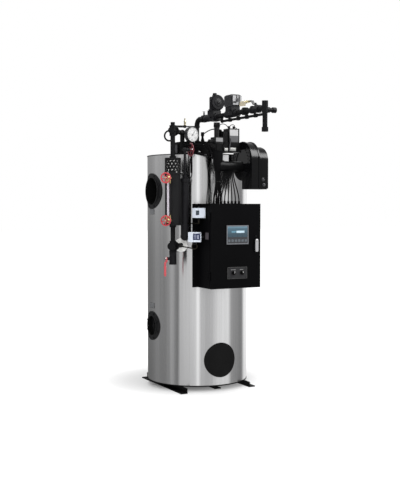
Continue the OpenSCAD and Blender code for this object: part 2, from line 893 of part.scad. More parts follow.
module blower_housing() {
    color("black") translate([blower_x, blower_y, blower_z]) rotate([90, 0, 90]) {
        linear_extrude(blower_w) arch(blower_r, blower_leg);
        for (at = [0, blower_w - rim_w]) translate([0, 0, at])
            linear_extrude(rim_w) arch(blower_r + rim_t, blower_leg);
        translate([0, blower_r - duct_h, duct_inset]) linear_extrude(duct_w) square([blower_r, duct_h]);
    }
}

module fan_motor_cover() {
    color("black") translate([blower_x + blower_w, blower_y, blower_z]) rotate([90, 0, 90]) {
        linear_extrude(motor_w - motor_cap_w) arch(motor_r, blower_leg);
        linear_extrude(motor_w) arch(motor_r - motor_cap_step, blower_leg - motor_cap_step);
    }
}

module intake_ring() {
    gap = (intake_out_r - intake_in_r) / 3;
    color("black") translate([blower_x - intake_t, blower_y, blower_z]) rotate([90, 0, 90])
        linear_extrude(intake_t) difference() {
            circle(r = intake_out_r, $fn = wide_fn);
            circle(r = intake_in_r, $fn = wide_fn);
            for (row = [1, 2]) for (i = [0 : intake_count - 1])
                rotate((i + row / 2) * 360 / intake_count) translate([intake_in_r + row * gap, 0])
                    circle(d = intake_hole_d, $fn = 24);
        }
}

module relay_box() {
    color("black") translate([relay_x0, relay_front, relay_z]) {
        cube([relay_w, relay_d, relay_h]);
        translate([seat, 0, 0]) cube([block_w, transformer_d, relay_h + block_h]);
    }
}

module air_switch() {
    color("dimgray") translate([relay_x0 - air_switch_w, relay_front, relay_z])
        cube([air_switch_w, relay_d * 0.8, air_switch_h]);
}

module flame_scanner() {
    cap_h = scanner_h / 4;
    color("black") translate([relay_x0 - air_switch_w / 2, relay_front + relay_d * 0.4,
        relay_z + air_switch_h]) {
        cylinder(d = scanner_d * 0.86, h = scanner_h);
        translate([0, 0, scanner_h - cap_h]) cylinder(d = scanner_d, h = cap_h);
    }
}

module ignition_transformer() {
    left = relay_x1 - transformer_inset - transformer_w;
    color("lightgray") translate([left, relay_front, relay_z + relay_h]) {
        cube([transformer_w, transformer_d, transformer_h]);
        for (side = [-1, 1])
            translate([transformer_w / 2 + side * terminal_off, transformer_d / 2, transformer_h])
                cylinder(d = terminal_d, h = terminal_h);
    }
}

module ignition_lead() {
    lead_r = 4;
    sag = 46;
    steps = 12;
    a = [electrode_x, -boot_d / 2 - seat, burner_top + electrode_h - boot_h / 2];
    b = [electrode_x, relay_front + transformer_d + seat, relay_z + relay_h + transformer_h / 2];
    path = [for (i = [0 : steps]) let (t = i / steps) a + (b - a) * t + [0, 0, sag * sin(180 * t)]];
    color("black") skin_rings([for (i = [0 : steps]) ring_at(path[i],
        i == 0 || i == steps ? [0, -1, 0] : heading(path, i), lead_r, 8)]);
}

module cable_trunk() {
    color("black") translate([0, relay_front, trunk_z]) {
        bar_x(trunk_d / 2, trunk_x0 - cut, blower_x);
        intersection() {
            bar_x(hub_d / 2, trunk_x0 - hub_l, trunk_x0);
            translate([trunk_x0, 0, 0]) sphere(r = norm([hub_d / 2, hub_l]) * 0.86);
        }
    }
}

function conduit_x(i) = trunk_x0 + conduit_d + i * conduit_pitch;
function gland_x(i) = (i - (conduit_count - 1) / 2) * gland_pitch - gland_d;

module control_conduits() {
    color("black") for (i = [0 : conduit_count - 1]) {
        path = sway([gland_x(i), case_mid, panel_top + gland_h],
            [conduit_x(i), relay_front, trunk_z - trunk_d / 2 - seat], 10);
        skin_rings([for (p = path) ring_at(p, [0, 0, 1], conduit_d / 2, 8)]);
    }
}

module cable_glands() {
    color("black") for (i = [0 : conduit_count - 1])
        translate([gland_x(i), case_mid, panel_top]) cylinder(d = gland_d, h = gland_h, $fn = 6);
}

// A straight length of gas pipe between two distances from the boiler's axis
module gas_run(a, b, r) {
    translate([0, 0, train_z]) bar_y(r, -b, -a);
}

module gas_piping() {
    riser = train_z - elbow_r - burner_top;
    reg_end = reg_at + reg_l / 2;
    ssv_end = ssv_at + ssv_l / 2;
    cock_end = cock_at + cock_l / 2;
    color("black") {
        translate([0, 0, burner_top]) {
            cylinder(r = gas_r, h = riser);
            for (z = [0, riser - collar_l]) translate([0, 0, z])
                cylinder(r = gas_r + collar_t, h = collar_l);
        }
        translate([0, -elbow_r, train_z - elbow_r]) rotate([90, 0, 90])
            rotate_extrude(angle = 90) translate([elbow_r, 0]) circle(r = gas_r + collar_t / 2);
        gas_run(elbow_r, elbow_r + collar_l, gas_r + collar_t);
        gas_run(elbow_r, reg_at - reg_l / 2, gas_r);
        gas_union(union_at);
        gas_run(reg_end, ssv_at - ssv_l / 2, gas_r);
        gas_run(ssv_end, cock_at - cock_l / 2, gas_r);
        gas_union((ssv_end + cock_at - cock_l / 2) / 2);
        gas_run(cock_end, drip_at - tee_r - collar_t, gas_r);
    }
}

// A pipe union at a distance from the boiler's axis: a nut between two collars
module gas_union(at) {
    translate([0, 0, train_z]) hex_y(union_af, -at - union_l / 2, union_l / 2 - at);
    gas_run(at - union_l / 2 - collar_l, at + union_l / 2 + collar_l, gas_r + collar_t);
}

// A valve body along Y with hexagon ends
module valve_body(l, r) {
    bar_y(r, -l / 2, l / 2);
    for (end = [-1, 1]) translate([0, end * (l - valve_end) / 2, 0])
        hex_y(valve_af, -valve_end / 2, valve_end / 2);
}

module regulating_valve() {
    color("dimgray") translate([0, -reg_at, train_z]) {
        valve_body(reg_l, valve_r);
        translate([-bonnet_half, -reg_lead - collar_l, -bonnet_half])
            cube([2 * bonnet_half, reg_block_l + 2 * collar_l, bonnet_half + bonnet_h]);
    }
}

module regulator_head() {
    front = -reg_lead;
    color("dimgray") translate([0, -reg_at, train_z]) {
        translate([-reg_block_w / 2, front, bonnet_h]) cube([reg_block_w, reg_block_l, reg_block_h]);
        translate([-reg_block_w / 2 - collar_t, front + collar_t, bonnet_h])
            cube([reg_block_w + 2 * collar_t, reg_block_l, collar_l]);
        translate([0, 0, reg_disc_rise]) {
            bar_y(reg_disc_d / 2, front - reg_rim_t, front);
            bar_y(reg_disc_d / 2 - reg_rim, front - reg_disc_t, front);
        }
        translate([0, front + reg_block_l / 2, reg_disc_rise]) {
            cylinder(d = knob_d, h = knob_rise);
            cylinder(d = knob_d + 2 * collar_t, h = knob_rise - collar_l);
        }
    }
}

module shutoff_valve() {
    color("dimgray") translate([0, -ssv_at, train_z]) {
        valve_body(ssv_l, valve_r);
        translate([collar_t - act_w / 2, collar_t - act_l / 2, -valve_r / 2])
            cube([act_w - 2 * collar_t, act_l - 2 * collar_t, valve_r * 1.5 + act_neck]);
    }
}

module shutoff_actuator() {
    pitch = act_l / act_ribs;
    color("dimgray") translate([0, -ssv_at, train_z + valve_r + act_neck]) {
        translate([-act_w / 2, -act_l / 2, 0]) cube([act_w, act_l, act_h]);
        for (i = [0 : act_ribs - 1])
            translate([-act_w / 2 - act_rib_t, -act_l / 2 + (i + 0.25) * pitch, act_cover_edge])
                cube([act_w + 2 * act_rib_t, pitch / 2, act_h - 2 * act_cover_edge]);
        translate([act_cover_edge - act_w / 2, -act_l / 2 - act_cover_t, act_cover_edge])
            cube([act_w - 2 * act_cover_edge, act_cover_t + cut, act_h - 2 * act_cover_edge]);
        translate([0, 0, act_h / 2])
            bar_y(act_knob_d / 2, -act_l / 2 - act_cover_t - act_knob_l, -act_l / 2);
    }
}

module pilot_line() {
    color("black") difference() {
        translate([0, 0, train_z - pilot_drop]) {
            bar_y(pilot_d / 2, -drip_at, -pilot_start);
            translate([0, -pilot_start, 0]) sphere(d = pilot_nut_d);
            translate([0, -pilot_start, 0]) cylinder(d = pilot_d, h = pilot_drop);
            for (i = [1 : 4]) translate([0, -pilot_start - i * pilot_pitch, 0])
                hex_y(pilot_nut_d, -pilot_nut_l / 2, pilot_nut_l / 2);
        }
        gas_run(0, drip_at, gas_r + seat);
        gas_run(ssv_at + ssv_l / 2, cock_at - cock_l / 2, union_af / 2 + seat);
        translate([0, -drip_at, 0]) cylinder(r = tee_r + seat, h = tee_top);
    }
}

module gas_cock() {
    color("dimgray") translate([0, -cock_at, train_z]) {
        valve_body(cock_l, cock_r);
        cylinder(r = stem_r, h = cock_r + lever_lift + lever_t + lever_lift);
        cylinder(r = lever_half, h = cock_r + lever_lift / 2);
    }
}

module gas_cock_lever() {
    foot = lever_half * 2;
    knee = lever_t / 2;
    color("gold") translate([0, -cock_at, train_z + cock_r + lever_lift]) difference() {
        union() {
            cylinder(r = lever_half, h = lever_t);
            translate([-lever_half, 0, 0]) rotate([90, 0, 90]) linear_extrude(2 * lever_half) polygon([
                [0, 0], [foot, 0], [foot + lever_rise, lever_rise], [cock_lever_l, lever_rise],
                [cock_lever_l, lever_rise + lever_t], [foot + lever_rise - knee, lever_rise + lever_t],
                [foot - knee, lever_t], [0, lever_t]]);
            translate([-grip_w / 2, cock_lever_l - grip_l, lever_rise + (lever_t - grip_t) / 2])
                cube([grip_w, grip_l, grip_t]);
        }
        translate([0, 0, -cut]) cylinder(r = stem_r + pin_gap, h = lever_t + 2 * cut);
    }
}

module drip_leg() {
    cap_x = tee_r + plug_l - plug_cap_l;
    color("black") translate([0, -drip_at, 0]) difference() {
        union() {
            translate([0, 0, tee_low]) cylinder(r = tee_r, h = tee_h);
            translate([0, 0, train_z]) bar_y(gas_r + collar_t, 0, tee_r + collar_t);
            translate([0, 0, tee_low - drip_l]) cylinder(r = gas_r, h = drip_l);
            translate([0, 0, tee_low - drip_l - drip_cap_h]) cylinder(d = drip_cap_d, h = drip_cap_h);
            translate([0, 0, train_z - plug_d / 2]) {
                bar_x(plug_d / 2, 0, tee_r + plug_l);
                bar_x(plug_d / 2 + collar_t, cap_x, cap_x + plug_cap_l);
                bar_x(plug_d / 2 + collar_t, 0, tee_r + collar_l);
            }
        }
        translate([0, 0, tee_top - inlet_depth]) cylinder(d = inlet_bore, h = inlet_depth + cut);
    }
}

module water_column() {
    color("black") polar(column_angle, column_r) translate([0, 0, column_bottom]) {
        cylinder(d = column_od, h = column_h);
        for (z = [0, column_h - flange_t]) translate([0, 0, z])
            cylinder(d = column_od + 2 * flange_lip, h = flange_t);
    }
}

module probe_guard() {
    pitch = guard_h / (guard_rows + 1);
    color("dimgray") polar(column_angle, column_r) translate([0, 0, column_top]) difference() {
        cylinder(d = column_od + guard_wall, h = guard_h);
        translate([0, 0, -cut]) cylinder(d = column_od - guard_wall, h = guard_h - guard_wall + cut);
        for (row = [1 : guard_rows]) for (i = [0 : guard_holes - 1])
            rotate([0, 0, (i + row / 2) * 360 / guard_holes]) translate([0, 0, row * pitch])
                bar_x(guard_hole_d / 2, column_od / 3, column_od);
    }
}

module steam_header() {
    run = column_r - header_r;
    arm = fitting_r + collar_l;
    color("black") {
        polar(column_angle, column_r) {
            translate([0, 0, guard_top]) cylinder(r = trim_r, h = cross_z - guard_top);
            translate([0, 0, guard_top]) cylinder(r = fitting_r, h = collar_l);
            translate([0, 0, cross_z]) {
                bar_x(trim_r, -run, 0);
                bar_x(fitting_r - cut, -arm - collar_l, arm);
                bar_x(fitting_r + 2 * collar_t, -arm - collar_l / 2, -arm + collar_l / 2);
                cylinder(r = fitting_r, h = 2 * arm, center = true);
                hex_z(trim_pipe_d * 0.8, cap_rise);
            }
            translate([0, -vent_out, cross_z - vent_r]) rotate([90, 0, 90]) rotate([0, 0, 90])
                rotate_extrude(angle = 180) translate([vent_r, 0]) circle(d = vent_d);
            for (z = [cross_z, cross_z - 2 * vent_r]) translate([0, 0, z]) bar_y(vent_d / 2, -vent_out, 0);
            translate([-run, 0, cross_z]) sphere(r = fitting_r);
            translate([-run, 0, deck]) cylinder(r = trim_r, h = cross_rise);
            translate([-run, 0, deck]) cylinder(r = fitting_r, h = collar_l);
        }
        bar(sense_out, sense_mid, sense_d / 2);
        bar(sense_mid, sense_in, sense_thin_d / 2);
        translate(sense_mid) cylinder(d = vent_valve_d, h = sense_d + collar_t, center = true);
    }
}

module water_leg() {
    run = column_reach + jacket_wall;
    bottom = blowdown_z + blowdown_h / 2;
    arm = fitting_r + collar_l;
    color("black") polar(column_angle, column_r) {
        translate([0, 0, bottom]) cylinder(r = trim_r, h = column_bottom - bottom);
        translate([0, 0, column_bottom - collar_l]) cylinder(r = fitting_r, h = collar_l);
        translate([0, 0, water_z]) {
            cylinder(r = fitting_r, h = 2 * arm, center = true);
            bar_x(trim_r, -run, 0);
            bar_x(fitting_r - cut, -arm - collar_l, cross_plug_l);
            bar_x(fitting_r + 2 * collar_t, -arm - collar_l / 2, -arm + collar_l / 2);
            bar_x(fitting_r + collar_t, cross_plug_l - collar_l, cross_plug_l);
        }
        translate([0, 0, bottom]) hex_z(2 * fitting_r, collar_l);
    }
}

module escutcheon() {
    color("white") difference() {
        on_jacket(trim_t / 2) polar(column_angle, 0) translate([0, 0, water_z])
            bar_x(escutcheon_d / 2, 0, jacket_od);
        polar(column_angle, 0) translate([0, 0, water_z]) bar_x(trim_r + seat, 0, jacket_od);
        polar(feed_angle, 0) translate([0, 0, feed_z]) bar_x(feed_od / 2 + seat, 0, jacket_od);
    }
}

// Where the blowdown lever sits on its stem, and how deep the outlet goes
lever_at = trim_pipe_d * 1.45;
blowdown_depth = blowdown_h * 0.4;

// Children at the blowdown valve, local +X along its stem towards the boiler's left
module at_blowdown() {
    translate(place(column_angle, column_r, blowdown_z)) rotate([0, 0, 180]) children();
}

module blowdown_valve() {
    body_r = trim_r * 1.5;
    color("dimgray") at_blowdown() difference() {
        union() {
            translate([0, 0, -blowdown_h / 2]) cylinder(r = body_r, h = blowdown_h);
            translate([0, 0, -blowdown_h / 2]) hex_z(2 * body_r, collar_l);
            translate([0, 0, blowdown_h / 2 - collar_l]) hex_z(2 * body_r, collar_l);
            bar_x(stem_r, 0, lever_at + lever_t + lever_lift);
            bar_x(lever_half, 0, lever_at - lever_lift / 2);
        }
        translate([0, 0, -blowdown_h / 2 - cut]) cylinder(d = blowdown_bore, h = blowdown_depth + cut);
    }
}

module blowdown_lever() {
    knee = lever_half * 2;
    color("red") at_blowdown() translate([lever_at, 0, 0]) difference() {
        union() {
            bar_x(lever_half, 0, lever_t);
            translate([0, lever_half, 0]) rotate([90, 0, 0]) linear_extrude(2 * lever_half) polygon([
                [0, 0], [0, -knee], [lever_jog, -knee - lever_jog], [lever_jog, -blowdown_lever_l],
                [lever_jog + lever_t, -blowdown_lever_l],
                [lever_jog + lever_t, -knee - lever_jog + lever_t / 2],
                [lever_t, -knee + lever_t / 2], [lever_t, 0]]);
        }
        bar_x(stem_r + pin_gap, -cut, lever_t + cut);
    }
}

// A gauge valve at the glass, its glass end up for +1 or down for -1
module gauge_valve(z, end) {
    translate([0, 0, z]) mirror([0, 0, end > 0 ? 0 : 1]) difference() {
        union() {
            bar_x(gauge_arm_r, column_od / 2 - cut, glass_off);
            translate([glass_off, 0, 0]) {
                sphere(r = gauge_ball_r);
                cylinder(d = packing_af, h = packing_l);
                translate([0, 0, packing_l / 2]) hex_z(packing_af, packing_l / 2);
                bar_x(gauge_arm_r, 0, gauge_bonnet_l);
                bar_x(gauge_stem_r, 0, gauge_wheel_off + wheel_hub_l);
                for (side = [-1, 1]) translate([0, side * guard_rod_off, 0])
                    cylinder(d = guard_rod_d, h = glass_span / 2 + cut);
            }
        }
        translate([0, 0, -glass_span]) cylinder(d = column_od + 2 * seat, h = 2 * glass_span);
        translate([glass_off, 0, glass_seat]) cylinder(d = glass_d + 2 * seat, h = glass_span);
    }
}

module gauge_valves() {
    color("goldenrod") polar(column_angle, column_r) {
        gauge_valve(glass_hi, -1);
        gauge_valve(glass_lo, 1);
    }
}

module gauge_glass() {
    color("lightcyan") polar(column_angle, column_r + glass_off)
        translate([0, 0, glass_lo + glass_seat]) cylinder(d = glass_d, h = glass_span - 2 * glass_seat);
}

module gauge_wheel(z) {
    polar(column_angle, column_r + glass_off + gauge_wheel_off) translate([0, 0, z])
        rotate([0, 90, 0]) handwheel(gauge_wheel_d, gauge_stem_r);
}

module upper_gauge_wheel() {
    color("red") gauge_wheel(glass_hi);
}

module lower_gauge_wheel() {
    color("red") gauge_wheel(glass_lo);
}

module feed_pipe() {
    r = feed_od / 2;
    clamp_z = deck - clamp_drop;
    color("black") {
        polar(feed_angle, feed_r) {
            translate([0, 0, feed_z]) {
                bar_x(r, -feed_reach - jacket_wall, 0);
                sphere(r = r + clamp_t / 2);
                cylinder(r = r, h = clamp_z - feed_z);
                cylinder(r = feed_stem_r, h = feed_valve_z - feed_z);
            }
            translate([0, 0, clamp_z - clamp_h / 2]) {
                cylinder(r = r + 2 * clamp_t, h = clamp_h);
                translate([-feed_reach + seat, -clamp_t / 2, 0])
                    cube([feed_reach - seat, clamp_t, clamp_h]);
            }
            translate([0, 0, feed_valve_z]) sphere(r = 2 * feed_stem_r);
            translate([0, 0, clamp_z + clamp_h / 2]) cylinder(r = 2 * feed_stem_r, h = clamp_h);
        }
        translate(place(feed_angle, feed_r, feed_valve_z)) {
            bar_x(feed_stem_r, 0, feed_wheel_off + wheel_hub_l);
            bar_x(feed_stem_r + clamp_t, 0, feed_wheel_off - wheel_hub_l);
        }
    }
}

module feed_valve_wheel() {
    color("maroon") translate(place(feed_angle, feed_r, feed_valve_z))
        translate([feed_wheel_off, 0, 0]) rotate([0, 90, 0]) handwheel(feed_wheel_d, feed_stem_r);
}

module pressure_gauge() {
    front = -gauge_t / 2;
    nut_l = collar_l * 1.5;
    color("white") translate(place(gauge_angle, gauge_r, gauge_z)) rotate([0, 0, gauge_turn]) {
        difference() {
            union() {
                bar_y(gauge_d / 2 - bezel_step, front, -front);
                bar_y(gauge_d / 2, front, front + bezel_t);
            }
            bar_y(gauge_d / 2 - bezel_w, front - cut, front + dial_depth);
        }
        translate([0, 0, -gauge_d / 2 - nut_l + collar_t]) hex_z(gauge_stem * 3, nut_l);
        translate([0, 0, -gauge_rise]) cylinder(r = gauge_stem, h = gauge_rise - gauge_d / 2);
        translate([0, 0, siphon_rise - gauge_rise]) rotate([90, 0, 0]) rotate_extrude()
            translate([siphon_r, 0]) circle(r = gauge_stem - 1);
    }
}

module vent_valve() {
    body_h = vent_valve_h / 2;
    color("goldenrod") translate(sense_mid + [0, 0, (sense_d + collar_t) / 2]) {
        hex_z(vent_valve_d - collar_t, body_h);
        cylinder(d = vent_valve_d / 2, h = vent_valve_h);
        translate([0, 0, body_h]) cylinder(d1 = vent_valve_d, d2 = vent_valve_d / 2, h = body_h / 2);
    }
}

module junction_box() {
    color("black") polar(junction_angle, jacket_r - junction_inset)
        translate([-junction_w / 2, -junction_w / 2, deck + seat / 10])
            cube([junction_w, junction_w, junction_h]);
}

module steam_outlet() {
    color("dimgray") translate([0, steam_y, deck]) difference() {
        union() {
            cylinder(d = steam_bore + 2 * steam_wall, h = steam_h);
            translate([0, 0, steam_h - steam_flange_t]) cylinder(d = steam_flange_d, h = steam_flange_t);
        }
        translate([0, 0, -cut]) cylinder(d = steam_bore, h = steam_h + 2 * cut);
        for (i = [0 : 3]) rotate([0, 0, 45 + i * 90]) translate([steam_pcd / 2, 0, steam_h / 2])
            cylinder(d = steam_bolt_d, h = steam_h);
    }
}

module panel_bracket() {
    bar_h = 40;
    color("black") {
        translate([-panel_w / 2 - back_lip, case_back, panel_z])
            cube([panel_w + 2 * back_lip, back_t, panel_h]);
        for (z = [panel_z + hinge_inset, panel_top - hinge_inset]) difference() {
            translate([-panel_w / 2, back_y - cut, z - bar_h / 2]) cube([panel_w, jacket_r / 2, bar_h]);
            cylinder(r = jacket_r + seat, h = deck, $fn = wide_fn);
        }
    }
}

module panel_case() {
    color("black") {
        translate([-panel_w / 2, case_front, panel_z]) difference() {
            cube([panel_w, panel_d, panel_h]);
            translate([panel_wall, -cut, panel_wall])
                cube([panel_w - 2 * panel_wall, panel_d - panel_wall + cut, panel_h - 2 * panel_wall]);
        }
        for (z = hinge_heights) case_hinge(z);
    }
}

// The fixed half of a hinge: two knuckles, the pin through them and a leaf on the case
module case_hinge(z) {
    translate([hinge_x, hinge_y, z]) {
        translate([0, 0, -knuckle_l]) cylinder(d = hinge_pin_d, h = 2 * knuckle_l);
        for (end = [-1, 1])
            translate([0, 0, (end * (1 + knuckle_share + knuckle_gap) - knuckle_share) * knuckle_l / 2]) {
            cylinder(r = knuckle_r, h = knuckle_l * knuckle_share);
            translate([knuckle_r - leaf_t, 0, 0])
                cube([leaf_t, case_front - hinge_y + leaf_l, knuckle_l * knuckle_share]);
            translate([0, case_front - hinge_y + cut, 0])
                cube([hinge_off + cut, leaf_l - cut, knuckle_l * knuckle_share]);
        }
    }
}

module sub_panel() {
    edge = 30;
    plate_t = 3;
    stud_l = 12;
    stud_r = 6;
    w = panel_w - 2 * edge;
    h = panel_h - 2 * edge;
    back = case_back - panel_wall;
    color("white") {
        translate([-w / 2, back - stud_l - plate_t, panel_z + edge]) cube([w, plate_t, h]);
        for (sx = [-1, 1]) for (z = [panel_z + 2 * edge, panel_top - 2 * edge])
            translate([sx * (w / 2 - edge), 0, z]) bar_y(stud_r, back - stud_l - cut, back);
    }
}

module panel_door() {
    color("black") difference() {
        union() {
            translate([-panel_w / 2, door_front, panel_z]) difference() {
                cube([panel_w, door_t, panel_h]);
                translate([panel_wall, panel_wall, panel_wall])
                    cube([panel_w - 2 * panel_wall, door_t, panel_h - 2 * panel_wall]);
            }
            for (z = hinge_heights) translate([hinge_x, hinge_y, z - knuckle_l / 2]) {
                cylinder(r = knuckle_r, h = knuckle_l);
                translate([0, -leaf_t / 2, 0]) cube([hinge_off + cut, leaf_t, knuckle_l]);
            }
        }
        translate([hinge_x, hinge_y, panel_z]) cylinder(d = hinge_pin_d + 2 * pin_gap, h = panel_h);
    }
}

module door_handle() {
    boss_t = 6;
    end = (handle_l - handle_w) / 2;
    color("silver") translate([panel_w / 2 - handle_inset, door_front - turn_gap, panel_z + handle_z])
        rotate([90, 0, 0]) {
            cylinder(d = handle_w - collar_t, h = boss_t);
            translate([0, 0, boss_t]) linear_extrude(handle_t) {
                square([handle_w, 2 * end], center = true);
                for (side = [-1, 1]) translate([0, side * end]) circle(d = handle_w);
            }
        }
}

module touch_screen() {
    color("silver") translate([screen_x - screen_w / 2, door_front - screen_t, panel_z + screen_z])
        difference() {
            translate([0, 0, -screen_h / 2]) cube([screen_w, screen_t, screen_h]);
            translate([screen_edge, -cut, screen_edge - screen_h / 2])
                cube([screen_w - 2 * screen_edge, pane_depth + cut, screen_h - 2 * screen_edge]);
        }
}

module switch_plate() {
    color("dimgray") translate([screen_x, door_front - switch_t, panel_z + switch_z])
        translate([-switch_w / 2, 0, -switch_h / 2]) cube([switch_w, switch_t, switch_h]);
}

module selector(side) {
    x = screen_x + side * selector_pitch / 2;
    translate([x, door_front - switch_t - turn_gap, panel_z + switch_z]) {
        bar_y(selector_d / 2, -selector_base, 0);
        intersection() {
            bar_y(selector_d / 2, -selector_l, 0);
            translate([-selector_grip / 2, -selector_l, -selector_d])
                cube([selector_grip, selector_l, 2 * selector_d]);
        }
    }
}

module left_selector() {
    color("black") selector(-1);
}

module right_selector() {
    color("black") selector(1);
}

module pressure_controls() {
    color("white") for (p = control_places)
        translate([-panel_w / 2 - p[1], case_mid, panel_top - p[0] - control_h / 2]) {
            difference() {
                translate([-control_w, -control_d / 2, -control_h / 2])
                    cube([control_w, control_d, control_h]);
                translate([-(control_w + p[2]) / 2 - p[4], -control_d / 2 - cut, -p[3] / 2])
                    cube([p[2], window_depth + cut, p[3]]);
            }
            translate([-control_w / 2, 0, control_h / 2]) cylinder(d = adjuster_d, h = adjuster_h);
            bar_x(nipple_r, -cut, p[1]);
        }
}

// The point under the middle of a pressure control
function under_control(p) =
    [-panel_w / 2 - p[1] - control_w / 2, case_mid, panel_top - p[0] - control_h];

module pressure_tubes() {
    fitting_l = 40;
    loop_r = 20;
    upper = under_control(control_places[0]);
    lower = under_control(control_places[1]);
    tap = [upper[0], upper[1], upper[2] - fitting_l];
    feed = place(feed_angle, feed_r, tap[2]);
    loop = [lower[0], lower[1], water_z];
    leg = place(column_angle, jacket_r + column_reach * 0.45, water_z);
    color("goldenrod") difference() {
        union() {
            bar(tap, upper, nipple_r * 0.8);
            bar(tap, feed, tube_d / 2);
            bar([loop[0], loop[1], loop[2] + loop_r], lower, tube_d / 2);
            translate(loop) rotate([90, 0, 0]) rotate_extrude() translate([loop_r, 0]) circle(d = tube_d);
            bar([loop[0] - loop_r * 0.7, loop[1], loop[2] - loop_r * 0.7], leg, tube_d / 2);
        }
        polar(feed_angle, feed_r) cylinder(d = feed_od + 2 * seat, h = deck);
        polar(column_angle, 0) translate([0, 0, water_z]) bar_x(trim_r + seat, 0, column_r);
    }
}

outer_jacket();
top_plate();
base_plate();
floor_rails();
pressure_vessel();
flue_collar();
hand_hole_ring();
hand_hole_cover();
front_cover();
burner_drum();
air_duct();
blower_housing();
fan_motor_cover();
intake_ring();
relay_box();
air_switch();
flame_scanner();
ignition_transformer();
ignition_lead();
cable_trunk();
control_conduits();
cable_glands();
gas_piping();
regulating_valve();
regulator_head();
shutoff_valve();
shutoff_actuator();
pilot_line();
gas_cock();
gas_cock_lever();
drip_leg();
water_column();
probe_guard();
steam_header();
water_leg();
escutcheon();
blowdown_valve();
blowdown_lever();
gauge_valves();
gauge_glass();
vent_valve();
upper_gauge_wheel();
lower_gauge_wheel();
feed_pipe();
feed_valve_wheel();
pressure_gauge();
junction_box();
steam_outlet();
panel_bracket();
panel_case();
sub_panel();
panel_door();
door_handle();
touch_screen();
switch_plate();
left_selector();
right_selector();
pressure_controls();
pressure_tubes();
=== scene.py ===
"""Looks of a vertical steam boiler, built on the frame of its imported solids."""

import logging
import math
from dataclasses import dataclass
from enum import Enum
from typing import Any, Optional, Sequence, Union

import bpy
import numpy as np
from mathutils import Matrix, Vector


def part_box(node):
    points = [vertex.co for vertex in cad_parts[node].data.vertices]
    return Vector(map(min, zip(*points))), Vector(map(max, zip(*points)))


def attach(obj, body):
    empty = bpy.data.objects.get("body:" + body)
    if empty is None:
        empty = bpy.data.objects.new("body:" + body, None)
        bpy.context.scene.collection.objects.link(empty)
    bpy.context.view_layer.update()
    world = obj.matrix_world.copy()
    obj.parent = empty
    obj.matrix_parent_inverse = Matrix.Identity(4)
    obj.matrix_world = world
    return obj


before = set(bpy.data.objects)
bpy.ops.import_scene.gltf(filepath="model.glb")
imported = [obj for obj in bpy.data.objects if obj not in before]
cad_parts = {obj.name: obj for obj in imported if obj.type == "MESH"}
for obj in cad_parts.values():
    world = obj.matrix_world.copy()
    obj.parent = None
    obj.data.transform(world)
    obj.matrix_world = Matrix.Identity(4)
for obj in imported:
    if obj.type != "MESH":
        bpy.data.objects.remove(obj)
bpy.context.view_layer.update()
LOG = logging.getLogger("boiler")
MM = 0.001
ROOT = "boiler"
CREASE = math.radians(32.0)
Rgb = tuple[float, float, float]
Place = Sequence[float]
FULL_WHITE: Rgb = (1.0, 1.0, 1.0)

LEFT, RIGHT = (-1, 0, 0), (1, 0, 0)
FRONT, TOP, UNDER = (0, -1, 0), (0, 0, 1), (0, 0, -1)
# Directions that no level cord and no upright cord follows
OFF_LEVEL, OFF_UPRIGHT = (0.05, 0.1, 1.0), (0.36, -0.31, 0.12)


def tone(red: int, green: int, blue: int) -> Rgb:
    """Turns screen values from 0 to 255 into linear light."""
    part = np.array([red, green, blue]) / 255.0
    return tuple(np.where(part < 0.04045, part / 12.92, ((part + 0.055) / 1.055) ** 2.4).tolist())


def shade(colour: Rgb, share: float) -> Rgb:
    """Multiplies each part of a colour, up to 1."""
    return tuple(min(1.0, part * share) for part in colour)


@dataclass(frozen=True)
class Box:
    """The box of a CAD node.

    Attributes:
        low: Its lowest corner in millimetres.
        high: Its highest corner in millimetres.
    """

    low: np.ndarray
    high: np.ndarray

    @property
    def mid(self) -> np.ndarray:
        """Gives the middle."""
        return (self.low + self.high) / 2

    @property
    def size(self) -> np.ndarray:
        """Gives the sizes along x, y and z."""
        return self.high - self.low


def span(node: str) -> Box:
    """Gives the box of a CAD node, by its name."""
    low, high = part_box(node)
    return Box(np.array(low) / MM, np.array(high) / MM)


# Surfaces


@dataclass
class Surface:
    """A polygon surface as plain arrays.

    Attributes:
        verts: (n, 3) places in millimetres.
        loops: Vertex numbers of all faces, one face after another.
        sizes: Corners of each face.
        uv: (n, 2) coordinates of the vertices.
    """

    verts: np.ndarray
    loops: np.ndarray
    sizes: np.ndarray
    uv: np.ndarray

    def at(self, frames: np.ndarray) -> "Surface":
        """Copies the surface into one or more frames.

        Args:
            frames: A (4, 4) matrix or a (k, 4, 4) stack of them.

        Returns:
            All copies as one surface.
        """
        stack = np.asarray(frames, float).reshape(-1, 4, 4)
        count, n = len(stack), len(self.verts)
        verts = np.einsum("kij,nj->kni", stack[:, :3, :3], self.verts) + stack[:, None, :3, 3]
        shift = np.repeat(np.arange(count) * n, len(self.loops))
        return Surface(verts.reshape(-1, 3), np.tile(self.loops, count) + shift,
                       np.tile(self.sizes, count), np.tile(self.uv, (count, 1)))

    def facing(self, out: Place, *places: Place) -> "Surface":
        """Copies the surface to places, with its +Z in the direction out."""
        return self.at(np.stack([look(place, out) for place in places]))

    def on_cylinder(self, radius: float, angle: float, height: float) -> "Surface":
        """Bends a flat surface round an upright cylinder.

        The place (x, y, z) goes to the angle x / radius past the given one, the height y above the given
        one and the distance radius + z from the axis.

        Args:
            radius: Radius of the cylinder.
            angle: Direction of the surface's middle in degrees, 0 along +X.
            height: Height of the surface's middle.

        Returns:
            The bent surface.
        """
        turn = math.radians(angle) + self.verts[:, 0] / radius
        reach = radius + self.verts[:, 2]
        bent = np.stack([reach * np.cos(turn), reach * np.sin(turn), height + self.verts[:, 1]], 1)
        return Surface(bent, self.loops, self.sizes, self.uv)


